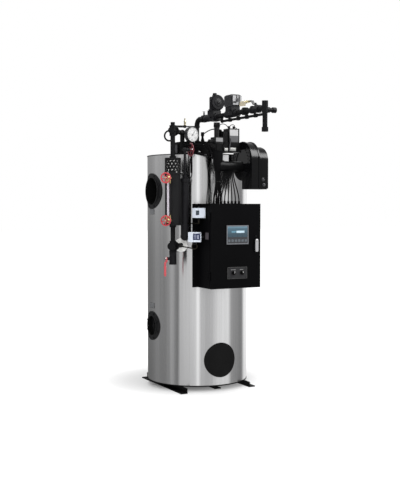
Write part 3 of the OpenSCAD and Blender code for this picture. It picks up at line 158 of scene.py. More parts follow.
def merge(parts: Sequence[Surface]) -> Surface:
    """Joins surfaces into one.

    Args:
        parts: The surfaces.

    Returns:
        One surface with all their faces.
    """
    shift = np.cumsum([0] + [len(p.verts) for p in parts[:-1]])
    return Surface(np.concatenate([p.verts for p in parts]),
                   np.concatenate([p.loops + s for p, s in zip(parts, shift)]),
                   np.concatenate([p.sizes for p in parts]), np.concatenate([p.uv for p in parts]))


def skin(points: np.ndarray, round_v: bool = True, round_u: bool = False, caps: bool = True) -> Surface:
    """Joins rows of points into quads, with point (i, j) at row i and column j.

    Args:
        points: (rows, columns, 3) places; the columns run anticlockwise about the rows' direction.
        round_v: Whether the last column joins the first.
        round_u: Whether the last row joins the first.
        caps: Whether the first and last row are closed by one polygon each.

    Returns:
        The surface, with uv (column share, row share).
    """
    rows, cols = points.shape[:2]
    i = np.arange(rows if round_u else rows - 1)[:, None]
    j = np.arange(cols if round_v else cols - 1)[None, :]
    i2, j2 = (i + 1) % rows, (j + 1) % cols
    quads = np.stack([i * cols + j, i * cols + j2, i2 * cols + j2, i2 * cols + j], -1).reshape(-1, 4)
    loops, sizes = [quads.ravel()], [np.full(len(quads), 4)]
    if caps and round_v and not round_u:
        loops += [np.arange(cols)[::-1], (rows - 1) * cols + np.arange(cols)]
        sizes += [np.array([cols]), np.array([cols])]
    v, u = np.meshgrid(np.linspace(0, 1, cols), np.linspace(0, 1, rows))
    return Surface(points.reshape(-1, 3).astype(float), np.concatenate(loops), np.concatenate(sizes),
                   np.stack([v.ravel(), u.ravel()], 1))


def circle(steps: int) -> np.ndarray:
    """Gives evenly spread angles of a full turn in radians."""
    return np.linspace(0, 2 * math.pi, steps, endpoint=False)


def lathe(profile: Sequence[tuple[float, float]], steps: int = 40, ring: bool = False) -> Surface:
    """Turns a profile of (radius r, height h) about +Z: the place (r cos a, r sin a, h) for each angle a.

    Args:
        profile: Points of the profile, outside upwards.
        steps: Points on each circle.
        ring: Whether the profile is closed, so that the result is a ring.

    Returns:
        The turned surface.
    """
    r, h = np.array(profile, float).T[:, :, None]
    a = circle(steps)
    return skin(np.stack([r * np.cos(a), r * np.sin(a), h + 0 * a], -1), round_u=ring)


def sweep(path: np.ndarray, radius: float, steps: int, side: Place = TOP, closed: bool = False) -> Surface:
    """Carries a circle along a path: p + radius (cos a * u + sin a * w), with u and w square to the path.

    Args:
        path: (n, 3) places.
        radius: Radius of the circle.
        steps: Points on each circle.
        side: A direction that the path never follows.
        closed: Whether the path ends where it starts.

    Returns:
        The tube.
    """
    path = np.asarray(path, float)
    ahead = (np.roll(path, -1, 0) - np.roll(path, 1, 0)) if closed else np.gradient(path, axis=0)
    ahead /= np.linalg.norm(ahead, axis=1, keepdims=True)
    u = np.cross(np.array(side, float), ahead)
    u /= np.linalg.norm(u, axis=1, keepdims=True)
    w = np.cross(ahead, u)
    a = circle(steps)[None, :, None]
    return skin(path[:, None] + radius * (np.cos(a) * u[:, None] + np.sin(a) * w[:, None]), round_u=closed)


def cord(points: Sequence[Place], radius: float, steps: int = 14) -> Surface:
    """Carries a circle along a smooth curve: between two points the cubic with their neighbours' slopes.

    Args:
        points: (n, 3) places.
        radius: Radius of the cord.
        steps: Points on each circle.

    Returns:
        The cord.
    """
    p = np.asarray(points, float)
    ends = np.concatenate([[2 * p[0] - p[1]], p, [2 * p[-1] - p[-2]]])
    t = np.linspace(0, 1, 9)[:-1, None]
    a, b, c, d = (ends[k:len(ends) - 3 + k][:, None] for k in range(4))
    square, cube = 2 * a - 5 * b + 4 * c - d, 3 * b - a - 3 * c + d
    curve = 0.5 * (2 * b + (c - a) * t + square * t ** 2 + cube * t ** 3)
    path = np.concatenate([curve.reshape(-1, 3), p[-1:]])
    upright = np.ptp(p[:, 2]) > np.ptp(p[:, 0])
    return sweep(path, radius, steps, side=OFF_UPRIGHT if upright else OFF_LEVEL)


def rounded(width: float, height: float, radius: float, steps: int = 5) -> np.ndarray:
    """Gives the outline of a rectangle with round corners, anticlockwise.

    Args:
        width: Size along x.
        height: Size along y.
        radius: Radius of the corners.
        steps: Points on each corner.

    Returns:
        (4 * steps, 2) places about the origin.
    """
    turn = np.linspace(0, math.pi / 2, steps)[None, :] + np.arange(4)[:, None] * math.pi / 2
    sign = np.array([[1, 1], [-1, 1], [-1, -1], [1, -1]], float)
    mid = sign * (np.array([width, height]) / 2 - radius)
    return (mid[:, None] + radius * np.stack([np.cos(turn), np.sin(turn)], -1)).reshape(-1, 2)


def lifted(outline: np.ndarray, height: float) -> np.ndarray:
    """Lifts an (n, 2) outline to a height."""
    return np.column_stack([outline, np.full(len(outline), height)])


def pad(width: float, height: float, thick: float, radius: float = 2.0, edge: float = 0.6) -> Surface:
    """Builds a plate with round corners and a broken front edge: the outline at three depths, closed by caps.

    Args:
        width: Size along x.
        height: Size along y.
        thick: Size along z, from 0 up.
        radius: Radius of the corners.
        edge: Width of the broken edge.

    Returns:
        The plate, with uv that covers its front from corner to corner.
    """
    radius = min(radius, width / 2 - 0.01, height / 2 - 0.01)
    edge = min(edge, thick / 2, radius * 0.9)
    full = rounded(width, height, radius)
    inner = rounded(width - 2 * edge, height - 2 * edge, radius - edge * 0.9)
    made = skin(np.stack([lifted(full, 0.0), lifted(full, thick - edge), lifted(inner, thick)]))
    made.uv = made.verts[:, :2] / np.array([width, height]) + 0.5
    return made


def bolt(flats: float, high: float) -> Surface:
    """Builds a hexagon bolt head on its washer, from z 0 up.

    Args:
        flats: Width over the flats.
        high: Height of the head.

    Returns:
        Washer and head as one surface.
    """
    r, w = flats / math.sqrt(3), flats * 0.16
    head = lathe([(r, w), (r, w + high * 0.85), (r * 0.86, w + high)], 6)
    return merge([lathe([(r * 1.28, 0), (r * 1.28, w * 0.8), (r * 1.2, w)], 24), head])


def look(place: Place, out: Place) -> np.ndarray:
    """Gives the frame whose +Z points out of a face and whose +Y points up, or back on a level face.

    Args:
        place: Origin in millimetres.
        out: Direction out of the face.

    Returns:
        A (4, 4) matrix.
    """
    z = np.array(out, float) / np.linalg.norm(out)
    x = np.cross((0.0, 1.0, 0.0) if abs(z[2]) > 0.9 else (0.0, 0.0, 1.0), z)
    x /= np.linalg.norm(x)
    made = np.eye(4)
    made[:3, :4] = np.stack([x, np.cross(z, x), z, np.array(place, float)], 1)
    return made


def ring_frames(place: Place, out: Place, radius: float, angles: np.ndarray) -> np.ndarray:
    """Gives frames spread on a circle.

    Args:
        place: Centre in millimetres.
        out: Direction of the circle's axis.
        radius: Radius of the circle.
        angles: Angles in degrees, from the frame's +X towards its +Y.

    Returns:
        A (k, 4, 4) stack.
    """
    base = look(place, out)
    a = np.radians(np.asarray(angles, float))
    made = np.repeat(base[None], len(a), 0)
    made[:, :3, 3] += radius * (np.cos(a)[:, None] * base[:3, 0] + np.sin(a)[:, None] * base[:3, 1])
    return made


def put(name: str, surface: Surface, finish: "Finish") -> bpy.types.Object:
    """Puts a surface into the scene, with edges sharp over the crease angle.

    Args:
        name: Name of the object.
        surface: Its surface in millimetres.
        finish: Its finish.

    Returns:
        The object.
    """
    mesh = bpy.data.meshes.new(name)
    starts = np.concatenate([[0], np.cumsum(surface.sizes)[:-1]])
    mesh.vertices.add(len(surface.verts))
    mesh.loops.add(len(surface.loops))
    mesh.polygons.add(len(surface.sizes))
    mesh.vertices.foreach_set("co", (surface.verts * MM).astype(np.float32).ravel())
    mesh.loops.foreach_set("vertex_index", surface.loops.astype(np.int32))
    mesh.polygons.foreach_set("loop_start", starts.astype(np.int32))
    mesh.polygons.foreach_set("use_smooth", np.ones(len(surface.sizes), bool))
    mesh.update(calc_edges=True)
    layer = mesh.uv_layers.new(name="face")
    layer.uv.foreach_set("vector", surface.uv[surface.loops].astype(np.float32).ravel())
    mesh.set_sharp_from_angle(angle=CREASE)
    mesh.validate()
    mesh.materials.append(finish.material())
    made = bpy.data.objects.new(name, mesh)
    bpy.context.scene.collection.objects.link(made)
    return made


def piece(name: str, surface: Surface, finish: "Finish", body: str = ROOT) -> None:
    """Puts a piece of the boiler into the scene and reports it.

    Args:
        name: Name of the piece.
        surface: Its surface in millimetres.
        finish: Its finish.
        body: The CAD body that it rides on.
    """
    made = put(name, surface, finish)
    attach(made, body)
    LOG.info("%s on %s", name, body)


# Shaders


class Sock:
    """A shader socket that takes part in sums."""

    def __init__(self, graph: "Graph", socket: bpy.types.NodeSocket) -> None:
        """Wraps an output socket of a graph."""
        self.graph, self.socket = graph, socket

    def run(self, operation: str, other: Any = 0.0) -> "Sock":
        """Runs any operation of the Math node, with this socket as its first value."""
        return self.graph.node("ShaderNodeMath", {0: self, 1: other}, operation=operation)

    def __add__(self, other: Any) -> "Sock":
        """Adds."""
        return self.run("ADD", other)

    __radd__ = __add__

    def __sub__(self, other: Any) -> "Sock":
        """Subtracts."""
        return self.run("SUBTRACT", other)

    def __rsub__(self, other: Any) -> "Sock":
        """Subtracts from a number."""
        return self.graph.node("ShaderNodeMath", {0: other, 1: self}, operation="SUBTRACT")

    def __mul__(self, other: Any) -> "Sock":
        """Multiplies."""
        return self.run("MULTIPLY", other)

    __rmul__ = __mul__

    def __truediv__(self, other: Any) -> "Sock":
        """Divides."""
        return self.run("DIVIDE", other)

    def __rtruediv__(self, other: Any) -> "Sock":
        """Divides a number."""
        return self.graph.node("ShaderNodeMath", {0: other, 1: self}, operation="DIVIDE")

    def __gt__(self, other: Any) -> "Sock":
        """Gives 1 where it is greater."""
        return self.run("GREATER_THAN", other)

    def __lt__(self, other: Any) -> "Sock":
        """Gives 1 where it is less."""
        return self.run("LESS_THAN", other)

    def __abs__(self) -> "Sock":
        """Drops the sign."""
        return self.run("ABSOLUTE")

    def capped(self) -> "Sock":
        """Gives no more than 1."""
        return self.run("MINIMUM", 1.0)

    def saw(self, count: float) -> "Sock":
        """Rises from 0 to 1 a number of times."""
        return (self * count).run("FRACT")

    def near(self, middle: float, half: float) -> "Sock":
        """Gives 1 within a distance of a value, and 0 outside."""
        return abs(self - middle) < half

    def mix(self, low: Any, high: Any) -> "Sock":
        """Mixes the colour at 0 with the colour at 1."""
        return self.graph.node("ShaderNodeMix", {0: self, 6: low, 7: high}, out=2, data_type="RGBA")

    def smooth(self, low: float, high: float) -> "Sock":
        """Maps a range softly to 0 to 1."""
        inputs = {0: self, 1: low, 2: high}
        return self.graph.node("ShaderNodeMapRange", inputs, interpolation_type="SMOOTHSTEP")


class Graph:
    """The nodes of one material or world."""

    def __init__(self, owner: Union[bpy.types.Material, bpy.types.World]) -> None:
        """Starts with no nodes.

        Args:
            owner: The material or world.
        """
        owner.use_nodes = True
        self.owner, self.tree = owner, owner.node_tree
        self.tree.nodes.clear()

    def add(self, kind: str, inputs: dict, stops: Sequence[tuple[float, float]] = (),
            **settings: Any) -> bpy.types.Node:
        """Creates any node, with its settings first and then its values and links.

        Args:
            kind: The node's type.
            inputs: Values or sockets by input name or number.
            stops: Places and brightness of a ramp's stops, in rising order.
            **settings: Properties of the node.

        Returns:
            The node.
        """
        made = self.tree.nodes.new(kind)
        for key, value in settings.items():
            setattr(made, key, value)
        for k, (place, grey) in enumerate(stops):
            ramp = made.color_ramp.elements
            stop = ramp[k] if k < 2 else ramp.new(1.0)
            stop.position, stop.color = place, (grey, grey, grey, 1.0)
        for key, value in inputs.items():
            target = made.inputs[key]
            if isinstance(value, Sock):
                self.tree.links.new(value.socket, target)
            else:
                target.default_value = (*value, 1.0) if target.type == "RGBA" else value
        return made

    def node(self, kind: str, inputs: Optional[dict] = None, out: Union[int, str] = 0,
             **settings: Any) -> Sock:
        """Creates any node, as add does, and hands back one of its outputs."""
        return Sock(self, self.add(kind, inputs or {}, **settings).outputs[out])

    def close(self, shader: Sock) -> None:
        """Links a shader to the output."""
        kind = "World" if isinstance(self.owner, bpy.types.World) else "Material"
        self.add("ShaderNodeOutput" + kind, {"Surface": shader})

    def surface(self, inputs: dict) -> None:
        """Closes the graph with a Principled surface that has these inputs."""
        self.close(self.node("ShaderNodeBsdfPrincipled", inputs))

    def coords(self, kind: str = "Object") -> Sock:
        """Gives the shaded place, as Object or UV."""
        return self.node("ShaderNodeTexCoord", out=kind)

    def parts(self, kind: str = "Object") -> tuple[Sock, Sock, Sock]:
        """Gives the three parts of the shaded place."""
        made = self.add("ShaderNodeSeparateXYZ", {0: self.coords(kind)})
        return tuple(Sock(self, out) for out in made.outputs)

    def noise(self, scale: Union[float, Place], detail: float = 3.0) -> Sock:
        """Gives soft noise about one half over the object.

        Args:
            scale: Waves per metre, one number or one for each axis.
            detail: Octaves.

        Returns:
            Values from 0 to 1.
        """
        each = (scale,) * 3 if isinstance(scale, float) else scale
        fit = self.node("ShaderNodeMapping", {"Vector": self.coords(), "Scale": each})
        inputs = {"Vector": fit, "Scale": 1.0, "Detail": detail, "Roughness": 0.55}
        return self.node("ShaderNodeTexNoise", inputs)

    def bump(self, height: Sock, depth: float, strength: float = 0.5) -> Sock:
        """Turns heights from 0 to 1 into a normal, by their depth in metres and a share of the effect."""
        return self.node("ShaderNodeBump", {"Height": height, "Distance": depth, "Strength": strength})


# Finishes


@dataclass(frozen=True)
class Finish:
    """What every finish has.

    Attributes:
        name: Name of its material.
        colour: Main colour.
        rough: Roughness.
    """

    name: str
    colour: Rgb
    rough: float = 0.5

    def material(self) -> bpy.types.Material:
        """Gives the material, made once.

        Returns:
            The material.
        """
        made = bpy.data.materials.get(self.name)
        if made is None:
            made = bpy.data.materials.new(self.name)
            self.paint(Graph(made))
        return made

    def paint(self, graph: Graph) -> None:
        """Fills the material's graph."""
        raise NotImplementedError

    def between(self, share: Sock, dark: float, light: float) -> Sock:
        """Mixes a darker and a lighter tone of the colour, given as factors."""
        return share.mix(shade(self.colour, dark), shade(self.colour, light))

    def dress(self, *nodes: str) -> None:
        """Gives CAD nodes this finish.

        Args:
            *nodes: Names of the CAD nodes.
        """
        for node in nodes:
            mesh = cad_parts[node].data
            mesh.materials.clear()
            mesh.materials.append(self.material())


@dataclass(frozen=True)
class Paint(Finish):
    """Paint or plastic with soft clouds and a fine grain.

    Attributes:
        metal: Metallic share.
        coat: Weight of a clear coat.
        shine: Strength of the plain reflection, 0.5 for common paint.
        cloud: How far the colour wanders, as a share.
        grain: Waves of the grain per metre.
        depth: Depth of the grain in metres.
    """

    metal: float = 0.0
    coat: float = 0.0
    shine: float = 0.5
    cloud: float = 0.22
    grain: float = 420.0
    depth: float = 0.0003

    def paint(self, graph: Graph) -> None:
        """Mixes a darker and a lighter tone by clouds, and roughens the surface with grain.

        Args:
            graph: The material's graph.
        """
        cloud, grain = graph.noise(9.0, 5.0), graph.noise(self.grain, 2.0)
        colour = self.between(cloud * 0.75 + grain * 0.25, 1 - self.cloud, 1 + self.cloud)
        graph.surface({"Base Color": self.stain(graph, colour), "Metallic": self.metal,
                       "Coat Weight": self.coat, "Coat Roughness": 0.12, "Specular IOR Level": self.shine,
                       "Roughness": self.rough + (cloud - 0.5) * 0.18 + (grain - 0.5) * 0.12,
                       "Normal": graph.bump(grain, self.depth)})

    def stain(self, graph: Graph, colour: Sock) -> Sock:
        """Changes the clouded colour over the surface; plain paint keeps it."""
        return colour


@dataclass(frozen=True)
class Split(Paint):
    """Paint with another colour over a stretch of one axis.

    Attributes:
        other: Colour inside the stretch.
        axis: 0, 1 or 2.
        middle: Middle of the stretch in metres.
        half: Half its length in metres.
    """

    other: Rgb = (0.0, 0.0, 0.0)
    axis: int = 1
    middle: float = 0.0
    half: float = 0.1

    def stain(self, graph: Graph, colour: Sock) -> Sock:
        """Chooses the other colour inside the stretch."""
        return graph.parts()[self.axis].near(self.middle, self.half).mix(colour, self.other)


@dataclass(frozen=True)
class Boxed(Paint):
    """Paint inside upright boxes, with another colour outside them.

    Attributes:
        other: Colour outside.
        boxes: Middle x, middle z, half width and half height of each box in metres.
    """

    other: Rgb = (0.0, 0.0, 0.0)
    boxes: tuple[tuple[float, float, float, float], ...] = ()

    def stain(self, graph: Graph, colour: Sock) -> Sock:
        """Keeps the clouded colour inside the boxes.

        Args:
            graph: The material's graph.
            colour: The clouded colour.

        Returns:
            The chosen colour.
        """
        x, _, z = graph.parts()
        inside = sum(x.near(mid_x, wide) * z.near(mid_z, high) for mid_x, mid_z, wide, high in self.boxes)
        return inside.mix(self.other, colour)


@dataclass(frozen=True)
class Bored(Paint):
    """Paint that is blackened inside a bore along X: painted shade in the bore's recess.

    Attributes:
        height: Height of the bore's axis in metres.
        bore: Radius of the bore in metres.
    """

    height: float = 0.0
    bore: float = 0.1

    def stain(self, graph: Graph, colour: Sock) -> Sock:
        """Blackens what lies within the bore's radius of its axis, as painted shade in the opening.

        Args:
            graph: The material's graph.
            colour: The clouded colour.

        Returns:
            The new colour.
        """
        _, y, z = graph.parts()
        up = z - self.height
        # painted shade: near black within the bore's radius, where shade falls in the opening
        return ((y * y + up * up).run("SQRT") < self.bore).mix(colour, (0.002, 0.002, 0.002))


@dataclass(frozen=True)
class Brushed(Finish):
    """Metal with fine streaks along one axis.

    Attributes:
        waves: Waves per metre along x, y and z.
        spread: How far the streaks change the colour, as a share.
    """

    waves: tuple[float, float, float] = (420.0, 420.0, 2.5)
    spread: float = 0.05

    def paint(self, graph: Graph) -> None:
        """Streaks tone, roughness and normal, over broad soft clouds.

        Args:
            graph: The material's graph.
        """
        streak, cloud = graph.noise(self.waves), graph.noise(3.2)
        colour = self.between(streak * 0.6 + cloud * 0.4, 1 - self.spread, 1 + self.spread)
        graph.surface({"Base Color": colour, "Metallic": 1.0,
                       "Roughness": self.rough + (streak - 0.5) * 0.12 + (cloud - 0.5) * 0.06,
                       "Normal": graph.bump(streak, 0.00004, 0.35)})


@dataclass(frozen=True)
class Sheet(Finish):
    """Brushed stainless sheet with long upright streaks."""

    def paint(self, graph: Graph) -> None:
        """Streaks tone, roughness and normal by three noises that are long in height.

        Args:
            graph: The material's graph.
        """
        fine, broad = graph.noise((700.0, 700.0, 1.6)), graph.noise((46.0, 46.0, 0.35))
        wave = graph.noise((15.0, 15.0, 0.5), 1.0)
        graph.surface({"Base Color": self.between(fine * 0.4 + broad * 0.6, 0.78, 1.2), "Metallic": 1.0,
                       "Anisotropic": 0.9, "Anisotropic Rotation": 0.25,
                       "Roughness": self.rough + (fine - 0.5) * 0.1 + (broad - 0.5) * 0.08,
                       "Normal": graph.bump(fine * 0.02 + broad * 0.4 + wave * 0.6, 0.0008)})


@dataclass(frozen=True)
class Ribbed(Finish):
    """A flexible sleeve with ribs along its height.

    Attributes:
        pitch: Distance of the ribs in metres.
    """

    pitch: float = 0.006

    def paint(self, graph: Graph) -> None:
        """Waves the normal along the height, and the tone with it as painted shade in the troughs and painted
        highlight on the crests.

        Args:
            graph: The material's graph.
        """
        wave = (graph.parts()[2] * (2 * math.pi / self.pitch)).run("SINE") * 0.5 + 0.5
        grain = graph.noise(60.0)
        # painted shade and highlight: the tone follows the rib wave, darker in the troughs and lighter on the
        # crests
        graph.surface({"Base Color": self.between(wave * 0.7 + grain * 0.3, 0.6, 1.5),
                       "Roughness": self.rough + (grain - 0.5) * 0.2, "Specular IOR Level": 0.04,
                       "Normal": graph.bump(wave, 0.0012, 0.6)})


@dataclass(frozen=True)
class Glass(Finish):
    """A clear pane that lets most light straight through.

    Attributes:
        seen: Share of the pane that is seen.
    """

    seen: float = 0.14

    def paint(self, graph: Graph) -> None:
        """Smears the shine and the clearness a little.

        Args:
            graph: The material's graph.
        """
        smear = graph.noise(40.0, 2.0)
        graph.surface({"Base Color": self.between(smear, 0.9, 1.0), "Alpha": smear * 0.06 + self.seen,
                       "Roughness": self.rough + smear * 0.04})


@dataclass(frozen=True)
class Dial(Finish):
    """A round scale with ticks over three quarters of a turn.

    Attributes:
        marks: Number of long steps.
        ink: Colour of the ticks.
    """

    marks: int = 10
    ink: Rgb = tone(60, 60, 62)

    def paint(self, graph: Graph) -> None:
        """Draws by the polar place on the face: ticks where the angle meets a step between two radii.

        Args:
            graph: The material's graph.
        """
        u, v, _ = graph.parts("UV")
        x, y = u - 0.5, v - 0.5
        r = (x * x + y * y).run("SQRT") * 2.0
        turn = x.run("ARCTAN2", y) / math.radians(135)
        share = (turn + 1.0) * (0.5 * self.marks)
        long = (abs((share + 0.5).run("FRACT") - 0.5) < 0.05) * r.near(0.83, 0.08)
        short = (abs((share * 5.0 + 0.5).run("FRACT") - 0.5) < 0.12) * r.near(0.87, 0.04)
        drawn = ((long + short + r.near(0.915, 0.008)) * (abs(turn) < 1.01)).capped()
        smudge = graph.noise(30.0)
        graph.surface({"Base Color": drawn.mix(self.between(smudge, 0.94, 1.04), self.ink),
                       "Roughness": self.rough + smudge * 0.1})


class Layout(Enum):
    """What a printed face shows."""

    BLANK = "blank"
    TWO_FIELDS = "two fields"
    SCREEN = "screen"
    SCALE = "scale"
    SWITCH = "switch"
    BLOCKS = "blocks"


@dataclass(frozen=True)
class Print(Finish):
    """A printed or lit face, laid out on its own uv.

    Attributes:
        layout: What it shows.
        second: Second colour.
        glow: Strength of its light.
    """

    layout: Layout = Layout.BLANK
    second: Rgb = (0.05, 0.05, 0.05)
    glow: float = 0.0

    def paint(self, graph: Graph) -> None:
        """Chooses colours by boxes on the face.

        Args:
            graph: The material's graph.
        """
        u, v, _ = graph.parts("UV")
        smudge = graph.noise(45.0)
        inputs = {"Roughness": self.rough + (smudge - 0.5) * 0.12, "Specular IOR Level": 0.25}
        if self.layout is Layout.SCREEN:
            colour = self._screen(u, v)
            inputs |= {"Emission Color": colour, "Emission Strength": self.glow, "Coat Weight": 0.6}
        else:
            colour = self._card(self.between(smudge, 0.9, 1.08), u, v)
        graph.surface(inputs | {"Base Color": colour})

    def _card(self, base: Sock, u: Sock, v: Sock) -> Sock:
        """Lays out a label.

        Args:
            base: Its ground.
            u: Place across.
            v: Place up.

        Returns:
            Its colour.
        """
        rim = 1.0 - u.near(0.5, 0.47) * v.near(0.5, 0.45)
        if self.layout is Layout.TWO_FIELDS:
            lines = (v.saw(14.0) < 0.3) * u.near(0.45, 0.34) * v.near(0.26, 0.16)
            fields = lines.mix((v < 0.5).mix(base, self.second), shade(self.second, 0.55))
            return rim.mix(fields, tone(18, 18, 20))
        if self.layout is Layout.SCALE:
            steps = (v.saw(9.0) < 0.25) * u.near(0.3, 0.14) * v.near(0.5, 0.36)
            needle = u.near(0.68, 0.06) * v.near(0.45, 0.3)
            return rim.mix((steps + needle).capped().mix(base, self.second), shade(self.colour, 0.5))
        if self.layout is Layout.BLOCKS:
            low, high = u.near(0.2, 0.2) * v.near(0.26, 0.12), u.near(0.42, 0.08) * (v > 0.6)
            return (u.near(0.72, 0.1) + high + low).capped().mix(base, self.second)
        if self.layout is Layout.SWITCH:
            bars = (v.near(0.8, 0.03) * (u.near(0.28, 0.13) + u.near(0.72, 0.09))).capped()
            return bars.mix(rim.mix(base, shade(self.colour, 0.6)), self.second)
        return rim.mix(base, self.second)

    @staticmethod
    def _screen(u: Sock, v: Sock) -> Sock:
        """Lays out a generic touch screen: a head field, a bright bar, tiles and a row of keys.

        Args:
            u: Place across.
            v: Place up.

        Returns:
            Its colour.
        """
        colour = v.smooth(0.3, 1.0).mix(tone(22, 40, 50), tone(58, 86, 100))
        fields = ((v < 0.36, tone(30, 32, 36)),
                  (u.saw(6.0).near(0.5, 0.34) * v.near(0.16, 0.07), tone(70, 76, 82)),
                  (u.saw(4.0).near(0.5, 0.4) * v.near(0.44, 0.06), tone(30, 54, 66)),
                  (v > 0.9, tone(78, 106, 120)),
                  (u.near(0.3, 0.1) * v.near(0.68, 0.04), tone(84, 128, 146)),
                  (u.near(0.64, 0.2) * v.near(0.68, 0.065), tone(168, 190, 202)))
        for inside, field_colour in fields:
            colour = inside.mix(colour, field_colour)
        return colour


@dataclass(frozen=True)
class Glow(Finish):
    """A card that gives even light.

    Attributes:
        strength: Strength of the light.
    """

    strength: float = 1.0

    def paint(self, graph: Graph) -> None:
        """Lights the card."""
        graph.close(graph.node("ShaderNodeEmission", {"Color": self.tint(graph), "Strength": self.strength}))

    def tint(self, graph: Graph) -> Union[Rgb, Sock]:
        """Gives the light's colour."""
        return self.colour


@dataclass(frozen=True)
class Banded(Glow):
    """A ring of cards whose light changes round the ring and with the height.

    Attributes:
        stops: Share of the turn and the light there.
        lift: How much more the left part gives high up, as a share.
    """

    stops: tuple[tuple[float, float], ...] = ()
    lift: float = 0.75

    def tint(self, graph: Graph) -> Sock:
        """Multiplies the bands round the ring by a height that dims the foot and lifts the left part.

        Args:
            graph: The material's graph.

        Returns:
            The light's colour.
        """
        u, v, _ = graph.parts("UV")
        most = 1 + self.lift
        lifted_stops = [(place, light * most) for place, light in self.stops]
        bands = graph.node("ShaderNodeValToRGB", {"Fac": u}, stops=lifted_stops)
        height = v.smooth(0.35, 0.8) * (u < 0.39) * self.lift + v.smooth(0.14, 0.27) * 0.2 + 0.8
        return (height / most).mix((0.0, 0.0, 0.0), bands)


@dataclass(frozen=True)
class Ground(Finish):
    """A floor that is matte near the boiler, where its shadow falls, and glows farther out.

    Attributes:
        middle: Middle of the matte patch in metres.
        fade: Radii in metres between which the matte patch ends.
        glow: Strength of the light.
    """

    middle: tuple[float, float] = (-0.04, 0.16)
    fade: tuple[float, float] = (0.3, 0.95)
    glow: float = 1.35

    def paint(self, graph: Graph) -> None:
        """Mixes the matte and the glowing floor by the distance from the middle.

        Args:
            graph: The material's graph.
        """
        x, y, _ = graph.parts()
        x, y = x - self.middle[0], y - self.middle[1]
        share = (x * x + y * y).run("SQRT").smooth(*self.fade) * 0.8 + 0.1
        matte = graph.node("ShaderNodeBsdfDiffuse", {"Color": self.colour})
        glow = graph.node("ShaderNodeEmission", {"Color": FULL_WHITE, "Strength": self.glow})
        graph.close(graph.node("ShaderNodeMixShader", {0: share, 1: matte, 2: glow}))


STEEL = Sheet("stainless_sheet", (0.60, 0.60, 0.605), 0.2)
DECK = Paint("deck_enamel", tone(22, 22, 23), 0.6, shine=0.03)
BLACK = Paint("black_satin", tone(10, 10, 11), 0.4, shine=0.05)
PANEL_BLACK = Paint("panel_black", tone(6, 6, 7), 0.45, grain=900.0, shine=0.03)
PIPE = Paint("pipe_black", tone(18, 18, 19), 0.46, grain=300.0, depth=0.0005, shine=0.04)
COLUMN = Paint("column_black", tone(29, 29, 30), 0.5, grain=300.0, depth=0.0005, shine=0.03)
PIPE_GREY = Paint("pipe_grey", tone(26, 26, 28), 0.42, grain=300.0, depth=0.0004, shine=0.08)
HOUSING = Paint("blower_black", tone(7, 7, 8), 0.2, grain=700.0, depth=0.0001, shine=0.1)
COVER = Paint("cover_matte", tone(20, 20, 20), 0.8, cloud=0.6, grain=160.0, depth=0.0012, shine=0.05)
IRON = Paint("cast_iron", tone(18, 18, 20), 0.5, grain=240.0, depth=0.0008, shine=0.1)
GREY = Paint("control_grey", tone(54, 54, 57), 0.46, shine=0.3)
SOOT = Paint("vessel_dark", tone(6, 6, 6), 0.95, cloud=0.4, grain=120.0, depth=0.001, shine=0.02)
RUBBER = Paint("rubber_black", tone(12, 12, 13), 0.72, grain=260.0, shine=0.02)
SLEEVE = Ribbed("conduit_sleeve", tone(13, 13, 14), 0.5)
RED = Paint("red_enamel", tone(160, 48, 56), 0.45, cloud=0.35)
LEVER_RED = Paint("lever_red", tone(180, 64, 72), 0.42, coat=0.2)
MAROON = Paint("maroon_enamel", tone(88, 20, 32), 0.34, coat=0.3)
WHITE = Paint("white_enamel", tone(226, 226, 224), 0.42, cloud=0.05)
SHELL_WHITE = Paint("control_white", tone(206, 213, 224), 0.42, cloud=0.06, shine=0.3)
BRASS = Brushed("brass", (0.66, 0.5, 0.24), 0.32, waves=(160.0, 160.0, 160.0), spread=0.14)
CHROME = Brushed("satin_chrome", (0.68, 0.68, 0.69), 0.24, waves=(500.0, 500.0, 6.0))
ZINC = Brushed("zinc_bolts", (0.42, 0.42, 0.42), 0.4, waves=(300.0, 300.0, 300.0), spread=0.12)
BEZEL = Brushed("screen_frame", (0.19, 0.195, 0.21), 0.36, waves=(30.0, 30.0, 600.0))
KNOB = Paint("knob_black", tone(10, 10, 11), 0.45, grain=900.0, shine=0.1)


# Sub-assemblies


